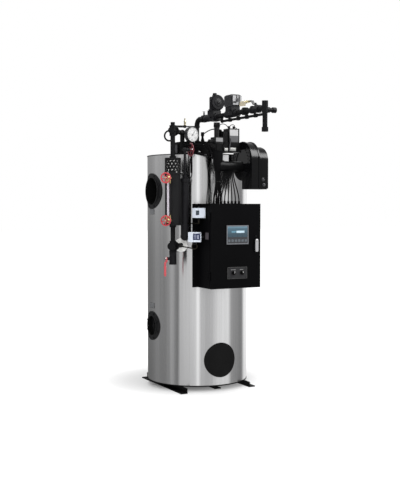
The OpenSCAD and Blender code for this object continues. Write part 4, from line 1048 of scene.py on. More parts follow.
@dataclass
class Shell:
    """Jacket, plates, rails, flue and cleaning openings.

    Attributes:
        flue_bore: Radius of the flue.
        hand_bore: Radius of the hand hole.
        seam_angle: Direction of the jacket's seam in degrees, 0 along +X.
        seam_end: Distance of the seam from each end of the jacket.
        rivets: Number of rivets on the seam.
        rivet_end: Distance of the last rivets from the ends of the jacket.
        plate: Width and height of the blank plates on the jacket.
        plate_angle: Direction of their middles in degrees.
        plate_heights: Heights of their middles.
        screws: Screws on each trim ring.
        screw_inset: Distance of the screws from the ring's rim.
        ring_face: Distance of the rings' faces from the jacket.
        gasket_drop: Distance of the gasket under the steam flange's face.
    """

    flue_bore: float = 104.0
    hand_bore: float = 75.0
    seam_angle: float = 118.0
    seam_end: float = 4.0
    rivets: int = 15
    rivet_end: float = 70.0
    plate: tuple[float, float] = (76.0, 40.0)
    plate_angle: float = 180.0
    plate_heights: tuple[float, ...] = (1337.0, 624.0)
    screws: int = 8
    screw_inset: float = 13.0
    ring_face: float = 5.9
    gasket_drop: float = 20.2

    def dress(self) -> None:
        """Gives the CAD nodes their finishes."""
        STEEL.dress("outer_jacket")
        DECK.dress("top_plate")
        BLACK.dress("base_plate", "floor_rails", "hand_hole_cover")
        SOOT.dress("pressure_vessel")
        COVER.dress("front_cover")
        IRON.dress("steam_outlet")
        # The collar and the hand hole ring get painted shade inside their bores
        for node, bore in (("flue_collar", self.flue_bore), ("hand_hole_ring", self.hand_bore)):
            Bored(node + "_paint", tone(20, 20, 21), 0.5, shine=0.15, height=span(node).mid[2] * MM,
                  bore=bore * MM).dress(node)

    def build(self) -> None:
        """Adds the seam, the blank plates, the screws and the gasket."""
        jacket = span("outer_jacket")
        radius = jacket.high[0]
        seam = pad(34.0, jacket.size[2] - 2 * self.seam_end, 1.6)
        piece("jacket_seam", seam.on_cylinder(radius, self.seam_angle, jacket.mid[2]), STEEL)
        head = pad(9.0, 9.0, 2.2, 4.4, 1.2)
        levels = np.linspace(jacket.low[2] + self.rivet_end, jacket.high[2] - self.rivet_end, self.rivets)
        rivets = merge([head.on_cylinder(radius + 1.5, self.seam_angle, z) for z in levels])
        piece("seam_rivets", rivets, ZINC)
        blank = pad(*self.plate, 2.4, 3.0)
        plates = merge([blank.on_cylinder(radius, self.plate_angle, z) for z in self.plate_heights])
        piece("jacket_plates", plates, Print("jacket_plate", tone(92, 93, 95), 0.4, second=tone(60, 60, 62)))
        piece("flue_screws", self._ring_screws("flue_collar", radius), IRON)
        piece("hand_hole_screws", self._ring_screws("hand_hole_ring", radius), IRON)
        outlet = span("steam_outlet")
        gasket = lathe([(58, 0), (58, 3), (54, 4.2)])
        place = (*outlet.mid[:2], outlet.high[2] - self.gasket_drop)
        piece("steam_gasket", gasket.facing(UNDER, place), RUBBER)

    def _ring_screws(self, node: str, radius: float) -> Surface:
        """Sets screws on a circle that is laid on the bent face of a ring.

        Args:
            node: The ring's CAD node.
            radius: Radius of the jacket.

        Returns:
            The screws.
        """
        ring, face = span(node), radius + self.ring_face
        reach = ring.size[2] / 2 - self.screw_inset
        a = np.radians((np.arange(self.screws) + 0.5) * 360 / self.screws)
        sides, levels = reach * np.cos(a), ring.mid[2] + reach * np.sin(a)
        head, made = bolt(10.0, 4.5), []
        for side, height in zip(sides, levels):
            turn = math.asin(side / face)
            out = (-math.cos(turn), math.sin(turn), 0)
            made.append(head.facing(out, (face * out[0], side, height)))
        return merge(made)


@dataclass
class Burner:
    """Drum, duct, blower and the burner's controls.

    Attributes:
        bolt_arc: First and last angle of the bolts on the burner flange in degrees.
        bolt_count: Number of these bolts.
        bolt_circle: Radius of their circle.
        flange_face: Height of the flange's face over the drum's foot.
        drum_top: Height of the drum's top over its foot.
        lug_angle: Direction of the band's lug in degrees.
        lug_reach: Distance of the lug from the drum's axis.
        ports: Places of the ports on the drum's top.
        louvre_y: Place of the louvres' middle.
        louvres: Height of the lowest louvre, a limit over the highest and their pitch.
        plugs: Place and height of each plug on the blower's front.
        terminals: Width, height, place and level of each terminal strip.
        relay_lid: Place and level of the relay box's lid.
        relay_insets: Distances of the relay box's screws from its left side.
        relay_levels: Heights of these screws.
        label_level: Height of the air switch's label.
        switch_lid: Height of the air switch's lid.
        switch_plug: Place and height of the plug on its left side.
        bands: Distances of the bands below the flame scanner's top.
        glands: Number of cable glands.
        gland_end: Distance of the outer glands' axes from the row's ends.
        loom: Place of the loom's axis.
        loom_ends: Each cable's distance from that axis and its place on the panel.
        boot_foot: Height of the boot's foot.
        tie_level: Height of the tie.
    """

    bolt_arc: tuple[float, float] = (22.0, 248.0)
    bolt_count: int = 9
    bolt_circle: float = 187.0
    flange_face: float = 20.0
    drum_top: float = 104.0
    lug_angle: float = 205.0
    lug_reach: float = 176.0
    ports: tuple[tuple[float, float], ...] = ((-62, 40), (-40, -78), (70, 66))
    louvre_y: float = -516.0
    louvres: tuple[float, float, float] = (1668.0, 1750.0, 16.0)
    plugs: tuple[tuple[float, float], ...] = ((219.0, 1572.0), (226.0, 1535.0))
    terminals: tuple[tuple[float, ...], ...] = ((28.0, 24.0, -22.0, 1790.0), (50.0, 26.0, 34.0, 1793.0))
    relay_lid: tuple[float, float] = (50.0, 1820.0)
    relay_insets: tuple[float, ...] = (10.0, 30.0)
    relay_levels: tuple[float, ...] = (1910.0, 1850.0)
    label_level: float = 1859.5
    switch_lid: float = 1806.0
    switch_plug: tuple[float, float] = (-476.0, 1847.0)
    bands: tuple[float, ...] = (34.0, 28.0, 22.0)
    glands: int = 8
    gland_end: float = 9.0
    loom: tuple[float, float] = (-90.0, -505.0)
    loom_ends: tuple[tuple[float, float], ...] = ((-17, -119), (-6, -100), (6, -81), (17, -65))
    boot_foot: float = 1628.0
    tie_level: float = 1556.0

    def dress(self) -> None:
        """Gives the CAD nodes their finishes."""
        BLACK.dress("burner_drum", "air_duct", "relay_box", "cable_trunk")
        HOUSING.dress("blower_housing", "fan_motor_cover", "intake_ring")
        Paint("switch_housing", tone(16, 16, 17), 0.45, shine=0.12).dress("air_switch")
        Paint("scanner_body", tone(16, 16, 17), 0.4, shine=0.15).dress("flame_scanner")
        Paint("transformer_case", tone(14, 14, 15), 0.42, shine=0.15).dress("ignition_transformer")
        RUBBER.dress("ignition_lead", "cable_glands")
        SLEEVE.dress("control_conduits")

    def build(self) -> None:
        """Adds bolts, labels, plugs and cables."""
        self._drum()
        self._blower()
        self._controls()
        self._glands()
        self._cables()
        self._loom()
        self._probe_cable()

    def _drum(self) -> None:
        """Adds the flange bolts, the band's lug and the ports."""
        foot = span("burner_drum").low[2]
        top = foot + self.drum_top
        angles = np.linspace(*self.bolt_arc, self.bolt_count)
        frames = ring_frames((0, 0, foot + self.flange_face), TOP, self.bolt_circle, angles)
        piece("burner_bolts", bolt(15.0, 8.0).at(frames), ZINC)
        a = math.radians(self.lug_angle)
        out = np.array([math.cos(a), math.sin(a), 0])
        side = np.array([-out[1], out[0], 0])
        seat = self.lug_reach * out + (0, 0, top - 11)
        piece("band_lug", pad(26.0, 18.0, 16.0, 3.0).facing(out, seat), BLACK)
        piece("band_bolt", bolt(9.0, 6.0).facing(side, seat + 10 * out + 13 * side), ZINC)
        port = lathe([(24, 0), (24, 6), (20, 10), (11, 11), (11, 15), (8, 17)], 32)
        piece("drum_ports", port.facing(TOP, *[(*place, top) for place in self.ports]), IRON)

    def _blower(self) -> None:
        """Adds the louvres and the plugs on the motor cover."""
        cover = span("fan_motor_cover")
        spots = [(cover.high[0] - 0.4, self.louvre_y, z) for z in np.arange(*self.louvres)]
        piece("motor_louvres", pad(120.0, 9.0, 2.4, 4.4, 1.6).facing(RIGHT, *spots), HOUSING)
        plug = lathe([(12, 0), (12, 5), (8, 6), (8, 14), (5, 17)], 28)
        piece("blower_plugs", plug.facing(FRONT, *[(x, cover.low[1], z) for x, z in self.plugs]), GREY)

    def _controls(self) -> None:
        """Adds labels, lids, terminals and screws to the transformer, the air switch and the relay box."""
        case, switch = span("ignition_transformer"), span("air_switch")
        front, middle = case.low[1] + 0.1, switch.mid[0]
        label = Print("transformer_label", tone(172, 172, 172), 0.55, Layout.TWO_FIELDS, tone(76, 76, 78))
        place = (case.low[0] + 39.0, front, case.low[2] + 50.5)
        piece("transformer_face", pad(74.0, 98.0, 1.2, 5.0, 0.5).facing(FRONT, place), label)
        label = Print("switch_label", tone(126, 126, 127), 0.45, second=tone(96, 96, 97))
        place = (middle, front, self.label_level)
        piece("air_switch_label", pad(57.0, 29.0, 0.9, 2.0, 0.3).facing(FRONT, place), label)
        pale = Print("terminal_strip", tone(196, 196, 193), 0.5, Layout.TWO_FIELDS, tone(140, 140, 138))
        strips = [pad(wide, high, 8.0).facing(FRONT, (x, front, z)) for wide, high, x, z in self.terminals]
        piece("relay_terminals", merge(strips), pale)
        x, z = self.relay_lid
        lids = (pad(86.0, 40.0, 6.0, 4.0, 2.0).facing(FRONT, (x, front, z)),
                pad(54.0, 58.0, 7.0, 6.0, 2.0).facing(FRONT, (middle, front, self.switch_lid)))
        piece("relay_lids", merge(lids), BLACK)
        screw, edge = lathe([(3.4, 0), (3.4, 1.2), (2.6, 2)], 18), span("relay_box").low[0]
        spots = [(edge + inset, front, z) for inset in self.relay_insets for z in self.relay_levels]
        piece("relay_screws", screw.facing(FRONT, *spots), IRON)
        plug = lathe([(17, 0), (17, 12), (13, 14), (13, 34), (15, 35), (15, 44), (9, 50)], 28)
        piece("air_switch_plug", plug.facing(LEFT, (switch.low[0] + 0.2, *self.switch_plug)), KNOB)
        scanner = span("flame_scanner")
        band = lathe([(23.4, 0), (24.2, 1), (24.2, 3), (23.4, 4)])
        spots = [(*scanner.mid[:2], scanner.high[2] - drop) for drop in self.bands]
        piece("scanner_bands", band.facing(TOP, *spots), KNOB)

    def _glands(self) -> None:
        """Adds a washer and a dome to each cable gland."""
        row = span("cable_glands")
        xs = np.linspace(row.low[0] + self.gland_end, row.high[0] - self.gland_end, self.glands)
        washer = lathe([(11.5, 0), (11.5, 2.4), (10.6, 3)], 28)
        piece("gland_washers", washer.facing(TOP, *[(x, row.mid[1], row.low[2]) for x in xs]), KNOB)
        dome = lathe([(8.6, 0), (8.4, 3), (6.6, 6), (4.9, 7)], 24)
        piece("gland_domes", dome.facing(TOP, *[(x, row.mid[1], row.high[2] - 0.4) for x in xs]), RUBBER)

    def _cables(self) -> None:
        """Adds the leads between the controls and the cables over the deck."""
        leads = [[(-52, -460, 1968), (-30, -463, 1978), (0, -462, 1972), (22, -460, 1950)],
                 [(24, -460, 1947), (44, -458, 1972), (68, -460, 1974), (76, -462, 1958), (92, -460, 1948)],
                 [(-30, -503, 1842), (-52, -508, 1815), (-50, -508, 1790), (-36, -508, 1782)]]
        piece("control_leads", merge([cord(path, 2.6, 8) for path in leads]), RUBBER)
        coil = [[(x, y, 1846), (x - 3, y - 4, 1900), (x + 4, y, 1934), (x + 12, y + 6, 1925)]
                for x, y in ((-47, -446), (-40, -428), (-34, -440), (-26, -424))]
        piece("control_coil", merge([cord(path, 5.5, 10) for path in coil]), RUBBER)
        grey = [(16, -507, 1872), (13, -509, 1850), (6, -510, 1812), (1, -510, 1778)]
        piece("grey_lead", cord(grey, 4.0, 10), GREY)
        upper = [(-262, -300, 1822), (-228, -384, 1829), (-165, -405, 1824), (-128, -440, 1812),
                 (-108, -480, 1785), (-98, -500, 1750)]
        middle = [(-262, -310, 1806), (-220, -380, 1812), (-155, -402, 1806), (-120, -445, 1790),
                  (-100, -490, 1755)]
        lower = [(-190, -353, 1766), (-140, -380, 1753), (-112, -420, 1740), (-95, -480, 1716)]
        piece("deck_cables", merge([cord(upper, 7.5), cord(middle, 7.5), cord(lower, 6.5)]), RUBBER)

    def _loom(self) -> None:
        """Adds the boot at the trunk's end, its cables down to the panel and the tie round them."""
        x, y = self.loom
        boot = lathe([(19, 0), (26, 20), (34, 60), (37, 107), (37, 145)])
        piece("loom_boot", boot.facing(TOP, (x, y, self.boot_foot)), RUBBER)
        cables = [cord([(x + start, y, 1660), (x + start, y - 2, 1590), (x + start, y - 2, 1530),
                        (end, -502, 1450), (end, -500, 1398)], 6.2) for start, end in self.loom_ends]
        from_plug = [(-150, -476, 1847), (-163, -480, 1832), (-154, -490, 1800), (-134, -508, 1740),
                     (-122, -514, 1690), (-108, -510, 1640), (-104, -508, 1590)]
        piece("control_loom", merge([*cables, cord(from_plug, 5.0)]), RUBBER)
        a = circle(40)
        tie = lifted(np.stack([x + 26 * np.cos(a), y - 2 + 9 * np.sin(a)], 1), self.tie_level)
        piece("loom_tie", sweep(tie, 2.4, 8, closed=True), KNOB)

    @staticmethod
    def _probe_cable() -> None:
        """Adds the cable down to the level probe and the thin lead beside it."""
        thick = [(-219, -328, 1772), (-218, -331, 1745), (-217, -332, 1690), (-217, -332, 1624)]
        thin = [(-220, -336, 1740), (-230, -330, 1712), (-233, -327, 1640), (-230, -330, 1585),
                (-220, -337, 1600), (-217, -338, 1628)]
        piece("probe_cable", merge([cord(thick, 7.0), cord(thin, 2.6, 8)]), RUBBER)


@dataclass
class GasTrain:
    """Gas pipe, valves, regulator, actuator, lever and drip leg.

    Attributes:
        axis: Height of the pipe's axis.
        regulator_y: Place of the regulator on the pipe.
        disc_level: Height of the regulator's disc over the axis.
        disc_screws: Number of screws on the disc.
        disc_circle: Radius of their circle.
        block: Half distances of the block's screws along x and y, and their height over the head's foot.
        actuator_y: Place of the actuator on the pipe.
        plugs: Place x, place y and height over the axis of each valve plug.
        test_points: Places of the test cocks on the pipe.
        tag_y: Place of the tag on the lever.
        inlet_y: Place of the open tee.
        thread: Largest radius, depth and step of the tee's inner thread.
    """

    axis: float = 2045.0
    regulator_y: float = -290.0
    disc_level: float = 102.0
    disc_screws: int = 8
    disc_circle: float = 54.5
    block: tuple[float, float, float] = (25.0, 18.0, 102.0)
    actuator_y: float = -560.0
    plugs: tuple[tuple[float, float, float], ...] = ((-32, -290, -4), (-27, -470, 0), (-33, -590, 20))
    test_points: tuple[float, ...] = (-117.0, -185.0)
    tag_y: float = -742.0
    inlet_y: float = -1007.0
    thread: tuple[float, float, float] = (16.45, 0.9, 2.4)

    def dress(self) -> None:
        """Gives the CAD nodes their finishes."""
        PIPE.dress("gas_piping", "pilot_line", "drip_leg")
        IRON.dress("regulating_valve", "shutoff_valve", "gas_cock")
        matte = Paint("regulator_grey", tone(26, 26, 28), 0.55, grain=300.0, depth=0.0005, shine=0.04)
        matte.dress("regulator_head")
        Paint("actuator_grey", tone(38, 38, 40), 0.5, shine=0.2).dress("shutoff_actuator")
        Split("lever_two_tone", tone(24, 24, 24), 0.42, other=tone(186, 172, 130), middle=-0.745,
              half=0.05).dress("gas_cock_lever")

    def build(self) -> None:
        """Adds the details of the regulator, the actuator, the valves and the lever."""
        self._regulator()
        self._actuator()
        self._valves()
        self._tag()

    def _regulator(self) -> None:
        """Adds the disc's screws and cap, the grip of the knob and the block's screws."""
        head, level = span("regulator_head"), self.axis + self.disc_level
        angles = (np.arange(self.disc_screws) + 0.5) * 360 / self.disc_screws
        frames = ring_frames((0, head.low[1] + 14, level), FRONT, self.disc_circle, angles)
        piece("disc_screws", bolt(7.0, 4.0).at(frames), IRON)
        cap = lathe([(30, 0), (30, 2.5), (26, 4), (12, 4.4), (12, 8), (9, 9.6)], 44)
        piece("disc_cap", cap.facing(FRONT, (0, head.low[1] + 0.2, level)), IRON)
        grip = lathe([(21, -22), (21, -10), (15.2, -9), (14.2, 0), (15.2, 1), (15.2, 9), (14.2, 10)], 18)
        piece("knob_grip", grip.facing(TOP, (0, self.regulator_y, head.high[2] - 13)), KNOB)
        x, y, z = self.block
        corners = [(right, self.regulator_y + back, head.low[2] + z) for right in (-x, x) for back in (-y, y)]
        piece("block_screws", bolt(8.0, 4.5).facing(TOP, *corners), IRON)

    def _actuator(self) -> None:
        """Adds the bright face, its pointer, the lid and the cable entry."""
        case = span("shutoff_actuator")
        level = case.mid[2]
        silver = Print("actuator_face", tone(150, 150, 152), 0.5, Layout.BLOCKS, tone(20, 20, 22))
        face = pad(72.0, 66.0, 1.2, 4.0, 0.4)
        piece("actuator_label", face.facing(FRONT, (1.0, case.low[1] + 10.1, level)), silver)
        pointer = pad(3.0, 18.0, 1.2, 1.2, 0.3)
        piece("actuator_pointer", pointer.facing(FRONT, (0, case.low[1] + 0.2, level)), GREY)
        lid = pad(70.0, 98.0, 5.0, 8.0, 2.0)
        piece("actuator_lid", lid.facing(TOP, (0, self.actuator_y, case.high[2] - 0.2)), GREY)
        gland = lathe([(12, 0), (12, 8), (9, 9), (9, 18), (6, 20)], 24)
        place = (case.high[0] - 4.2, self.actuator_y, level - 18)
        piece("actuator_gland", gland.facing(RIGHT, place), CHROME)

    def _valves(self) -> None:
        """Adds the inner thread of the open tee, and the plugs and test cocks on the pipe."""
        radius, depth, step = self.thread
        crests = [(radius - depth * (k % 2), step * k - 29.0) for k in range(11)]
        thread = lathe([(radius + 0.03, -30.0), (radius + 0.03, -2.0)] + crests[::-1], ring=True)
        piece("tee_thread", thread.facing(TOP, (0, self.inlet_y, span("drip_leg").high[2])), PIPE)
        plug = lathe([(8, 0), (8, 5), (5.5, 5.5), (5.5, 11), (4.5, 12)], 6)
        piece("valve_plugs", plug.facing(LEFT, *[(x, y, self.axis + z) for x, y, z in self.plugs]), IRON)
        stem = lathe([(6, 0), (6, 20), (4, 21), (4, 30), (3, 31)], 20)
        cock = merge([stem, pad(22.0, 7.0, 4.0, 2.0, 1.0).facing(TOP, (0, 0, 26.0))])
        piece("test_cocks", cock.facing(TOP, *[(0, y, self.axis + 26) for y in self.test_points]), IRON)

    def _tag(self) -> None:
        """Hangs a blank tag on the lever by a wire loop: an ellipse in the plane across the lever."""
        body, lever = "gas_cock_lever", span("gas_cock_lever")
        grip, height = lever.high[0], lever.high[2] - 8.0
        blank = Print("valve_tag", tone(146, 138, 120), 0.6, second=tone(150, 140, 116))
        place = (-grip - 7.0, self.tag_y, height - 12.0)
        piece("cock_tag", pad(54.0, 32.0, 0.8, 2.0, 0.3).facing((-1, -0.4, 0.1), place), blank, body=body)
        a = circle(36)
        loop = np.stack([(grip + 5.0) * np.cos(a) - 3.0, self.tag_y + 0.0 * a, height + 11.0 * np.sin(a)], 1)
        piece("tag_tie", sweep(loop, 1.1, 8, side=(0, 1, 0), closed=True), ZINC, body=body)


@dataclass
class WaterTrim:
    """Water column, gauge glass, headers, feed pipe and pressure gauge.

    Attributes:
        column: Place of the column's axis.
        glass: Place of the glass's axis.
        wheels: Heights of the gauge wheels, by their nodes.
        wheel_reach: Distance of their nuts from the glass's axis.
        fittings: Middle and half height in metres of the dark stretch between the gauge valves.
        blowdown_level: Height of the blowdown valve.
        blowdown_reach: Distance of the lever's nut from the column's axis.
        gauge: Middle of the pressure gauge.
        gauge_turn: Turn of its face towards the right in degrees.
        gauge_front: Distance of the bezel's front from the gauge's middle.
        dial: Radius of the dial.
        numbers: Numbers on the dial, spread over three quarters of a turn.
        number_circle: Radius of their circle.
        hand_turn: Turn of the hand in degrees.
        nut_count: Number of nuts on the column's flange.
        nut_circle: Radius of their circle.
        lid_turn: Turn of the junction box's lid from the front to the left in degrees.
        lid_reach: Distance of the lid from the box's middle.
    """

    column: tuple[float, float] = (-400.2, -400.2)
    glass: tuple[float, float] = (-470.9, -470.9)
    wheels: tuple[tuple[str, float], ...] = (("upper_gauge_wheel", 1579.0), ("lower_gauge_wheel", 1278.0))
    wheel_reach: float = 56.2
    fittings: tuple[float, float] = (1.4285, 0.112)
    blowdown_level: float = 1003.0
    blowdown_reach: float = 54.4
    gauge: tuple[float, float, float] = (-199.74, -299.5, 1906.0)
    gauge_turn: float = 14.0
    gauge_front: float = 17.0
    dial: float = 52.6
    numbers: tuple[str, ...] = ("0", "2", "4", "6", "8", "10")
    number_circle: float = 32.5
    hand_turn: float = 40.0
    nut_count: int = 6
    nut_circle: float = 60.2
    lid_turn: float = 54.0
    lid_reach: float = 19.9

    def dress(self) -> None:
        """Gives the CAD nodes their finishes."""
        COLUMN.dress("water_column")
        PIPE.dress("steam_header", "water_leg", "junction_box")
        PIPE_GREY.dress("feed_pipe")
        Paint("guard_dark", tone(14, 14, 15), 0.45, shine=0.1).dress("probe_guard")
        IRON.dress("blowdown_valve")
        LEVER_RED.dress("blowdown_lever")
        RED.dress("upper_gauge_wheel", "lower_gauge_wheel")
        MAROON.dress("feed_valve_wheel")
        WHITE.dress("escutcheon")
        dull = Brushed("dull_brass", (0.3, 0.27, 0.19), 0.42, waves=(160.0, 160.0, 160.0), spread=0.2)
        dull.dress("vent_valve")
        middle, half = self.fittings
        Split("gauge_fittings", tone(176, 158, 112), 0.4, metal=0.6, other=tone(20, 20, 21), axis=2,
              middle=middle, half=half).dress("gauge_valves")
        Paint("gauge_tube", tone(172, 165, 174), 0.2, cloud=0.08, coat=0.2).dress("gauge_glass")
        Paint("gauge_case", tone(28, 28, 30), 0.34).dress("pressure_gauge")

    def build(self) -> None:
        """Adds the dial, the wheels' nuts, the lever's grip, the probe and the junction box's lid."""
        self._dial()
        self._wheels()
        self._blowdown()
        self._column()

    def _on_gauge(self, depth: float, right: float = 0.0, up: float = 0.0) -> np.ndarray:
        """Gives a frame on the gauge.

        Args:
            depth: Distance behind the bezel's front.
            right: Distance right of the middle.
            up: Distance above the middle.

        Returns:
            The frame.
        """
        a, step = math.radians(self.gauge_turn), np.eye(4)
        step[:3, 3] = right, up, self.gauge_front - depth
        return look(self.gauge, (math.sin(a), -math.cos(a), 0)) @ step

    def _dial(self) -> None:
        """Adds the gauge's face, numbers, hand, lens, bezel and socket."""
        face = lathe([(self.dial, 0), (self.dial, 0.8)], 72)
        face.uv = face.verts[:, :2] / (2 * self.dial) + 0.5
        piece("gauge_dial", face.at(self._on_gauge(4.9)), Dial("gauge_face", tone(252, 252, 252), 0.4))
        reach, numbers = self.number_circle, []
        for text, a in zip(self.numbers, np.radians(np.linspace(-135, 135, len(self.numbers)))):
            spot = self._on_gauge(4.05, reach * math.sin(a), reach * math.cos(a))
            numbers.append(self._number(text, 6.2).at(spot))
        piece("gauge_numbers", merge(numbers), KNOB)
        a = math.radians(self.hand_turn)
        tip, side = np.array([math.sin(a), math.cos(a)]), np.array([math.cos(a), -math.sin(a)])
        outline = np.array([46 * tip, -14 * tip - 3 * side, -16 * tip, -14 * tip + 3 * side])
        hand = skin(np.stack([lifted(outline, 0.0), lifted(outline, 1.2)]))
        piece("gauge_hand", hand.at(self._on_gauge(3.6)), KNOB)
        piece("gauge_hub", lathe([(5.5, 0), (5.5, 2), (4, 3)], 24).at(self._on_gauge(3.4)), ZINC)
        lens = lathe([(52.8, 0), (52.8, 1.2), (40, 1.6), (1.0, 1.8)], 60)
        piece("gauge_lens", lens.at(self._on_gauge(1.9)), Glass("gauge_pane", (0.98, 0.98, 0.98), 0.02))
        profile = [(60.2, -11), (60.6, -9), (60.6, -1.5), (59.4, 0.2), (55, 0.4), (53.2, -1.2), (53.2, -2)]
        bezel = lathe(profile, 72, ring=True)
        piece("gauge_bezel", bezel.at(self._on_gauge(0.0)), Paint("bezel_dark", tone(30, 30, 32), 0.3))
        x, y, z = self.gauge
        piece("gauge_socket", lathe([(12, 0), (12, 14), (10, 16)], 6).facing(TOP, (x, y, z - 79)), BRASS)

    @staticmethod
    def _number(text: str, high: float) -> Surface:
        """Builds a number from straight strokes: a to f round a digit's rim and g across its middle.

        Args:
            text: Digits.
            high: Height of a digit.

        Returns:
            The strokes about the origin.
        """
        half, wide, stroke = high / 2, high * 0.5, high * 0.13
        spots = {"a": (0, half), "b": (wide / 2, half / 2), "c": (wide / 2, -half / 2), "d": (0, -half),
                 "e": (-wide / 2, -half / 2), "f": (-wide / 2, half / 2), "g": (0, 0)}
        shapes = {"0": "abcdef", "1": "bc", "2": "abged", "4": "fgbc", "6": "afgedc", "8": "abcdefg"}
        bar = pad(wide + stroke, stroke, 0.3, stroke * 0.3, 0.1)
        post = pad(stroke, half + stroke, 0.3, stroke * 0.3, 0.1)
        made = []
        for k, digit in enumerate(text):
            shift = (k - (len(text) - 1) / 2) * high * 0.8
            for key in shapes[digit]:
                x, y = spots[key]
                made.append((bar if key in "adg" else post).facing(TOP, (x + shift, y, 0)))
        return merge(made)

    def _wheels(self) -> None:
        """Adds the nuts that hold the wheels."""
        out = np.array([-1.0, -1.0, 0.0]) / math.sqrt(2)
        nut = lathe([(7, 0), (7, 4.5), (5.6, 5.6)], 6)
        for name, height in self.wheels:
            place = (*self.glass, height) + self.wheel_reach * out
            piece(name + "_nut", nut.facing(out, place), ZINC, body=name)
        wheel = span("feed_valve_wheel")
        nut = lathe([(11, 0), (11, 5), (9, 6.4)], 6)
        place = (wheel.high[0] + 0.2, *wheel.mid[1:])
        piece("feed_wheel_nut", nut.facing(RIGHT, place), ZINC, body="feed_valve_wheel")

    def _blowdown(self) -> None:
        """Adds the nut and the grip of the blowdown lever."""
        body, low = "blowdown_lever", span("blowdown_lever").low
        x, y = self.column
        nut = lathe([(8, 0), (8, 4), (6.6, 5)], 6)
        place = (x - self.blowdown_reach, y, self.blowdown_level)
        piece("blowdown_nut", nut.facing(LEFT, place), ZINC, body=body)
        grip = pad(24.0, 70.0, 8.0, 6.0, 2.5)
        piece("blowdown_grip", grip.facing(LEFT, (low[0] + 5.2, y, low[2] + 39)), LEVER_RED, body=body)

    def _column(self) -> None:
        """Adds the probe inside its guard, the flange nuts and the junction box's lid."""
        x, y = self.column
        foot = span("probe_guard").low[2]
        probe = lathe([(50, 0), (50, 84), (46, 88), (20, 90), (20, 96), (12, 98)], 48)
        cover = Paint("probe_cover", tone(176, 176, 174), 0.5, cloud=0.1)
        piece("level_probe", probe.facing(TOP, (x, y, foot + 0.3)), cover)
        angles = (np.arange(self.nut_count) + 0.5) * 360 / self.nut_count
        frames = ring_frames((x, y, foot), TOP, self.nut_circle, angles)
        piece("column_flange_nuts", bolt(9.0, 6.0).at(frames), ZINC)
        a = math.radians(self.lid_turn)
        out = np.array([-math.sin(a), -math.cos(a), 0])
        lid = pad(36.0, 62.0, 3.0, 3.0, 1.0)
        piece("junction_lid", lid.facing(out, span("junction_box").mid + out * self.lid_reach), GREY)


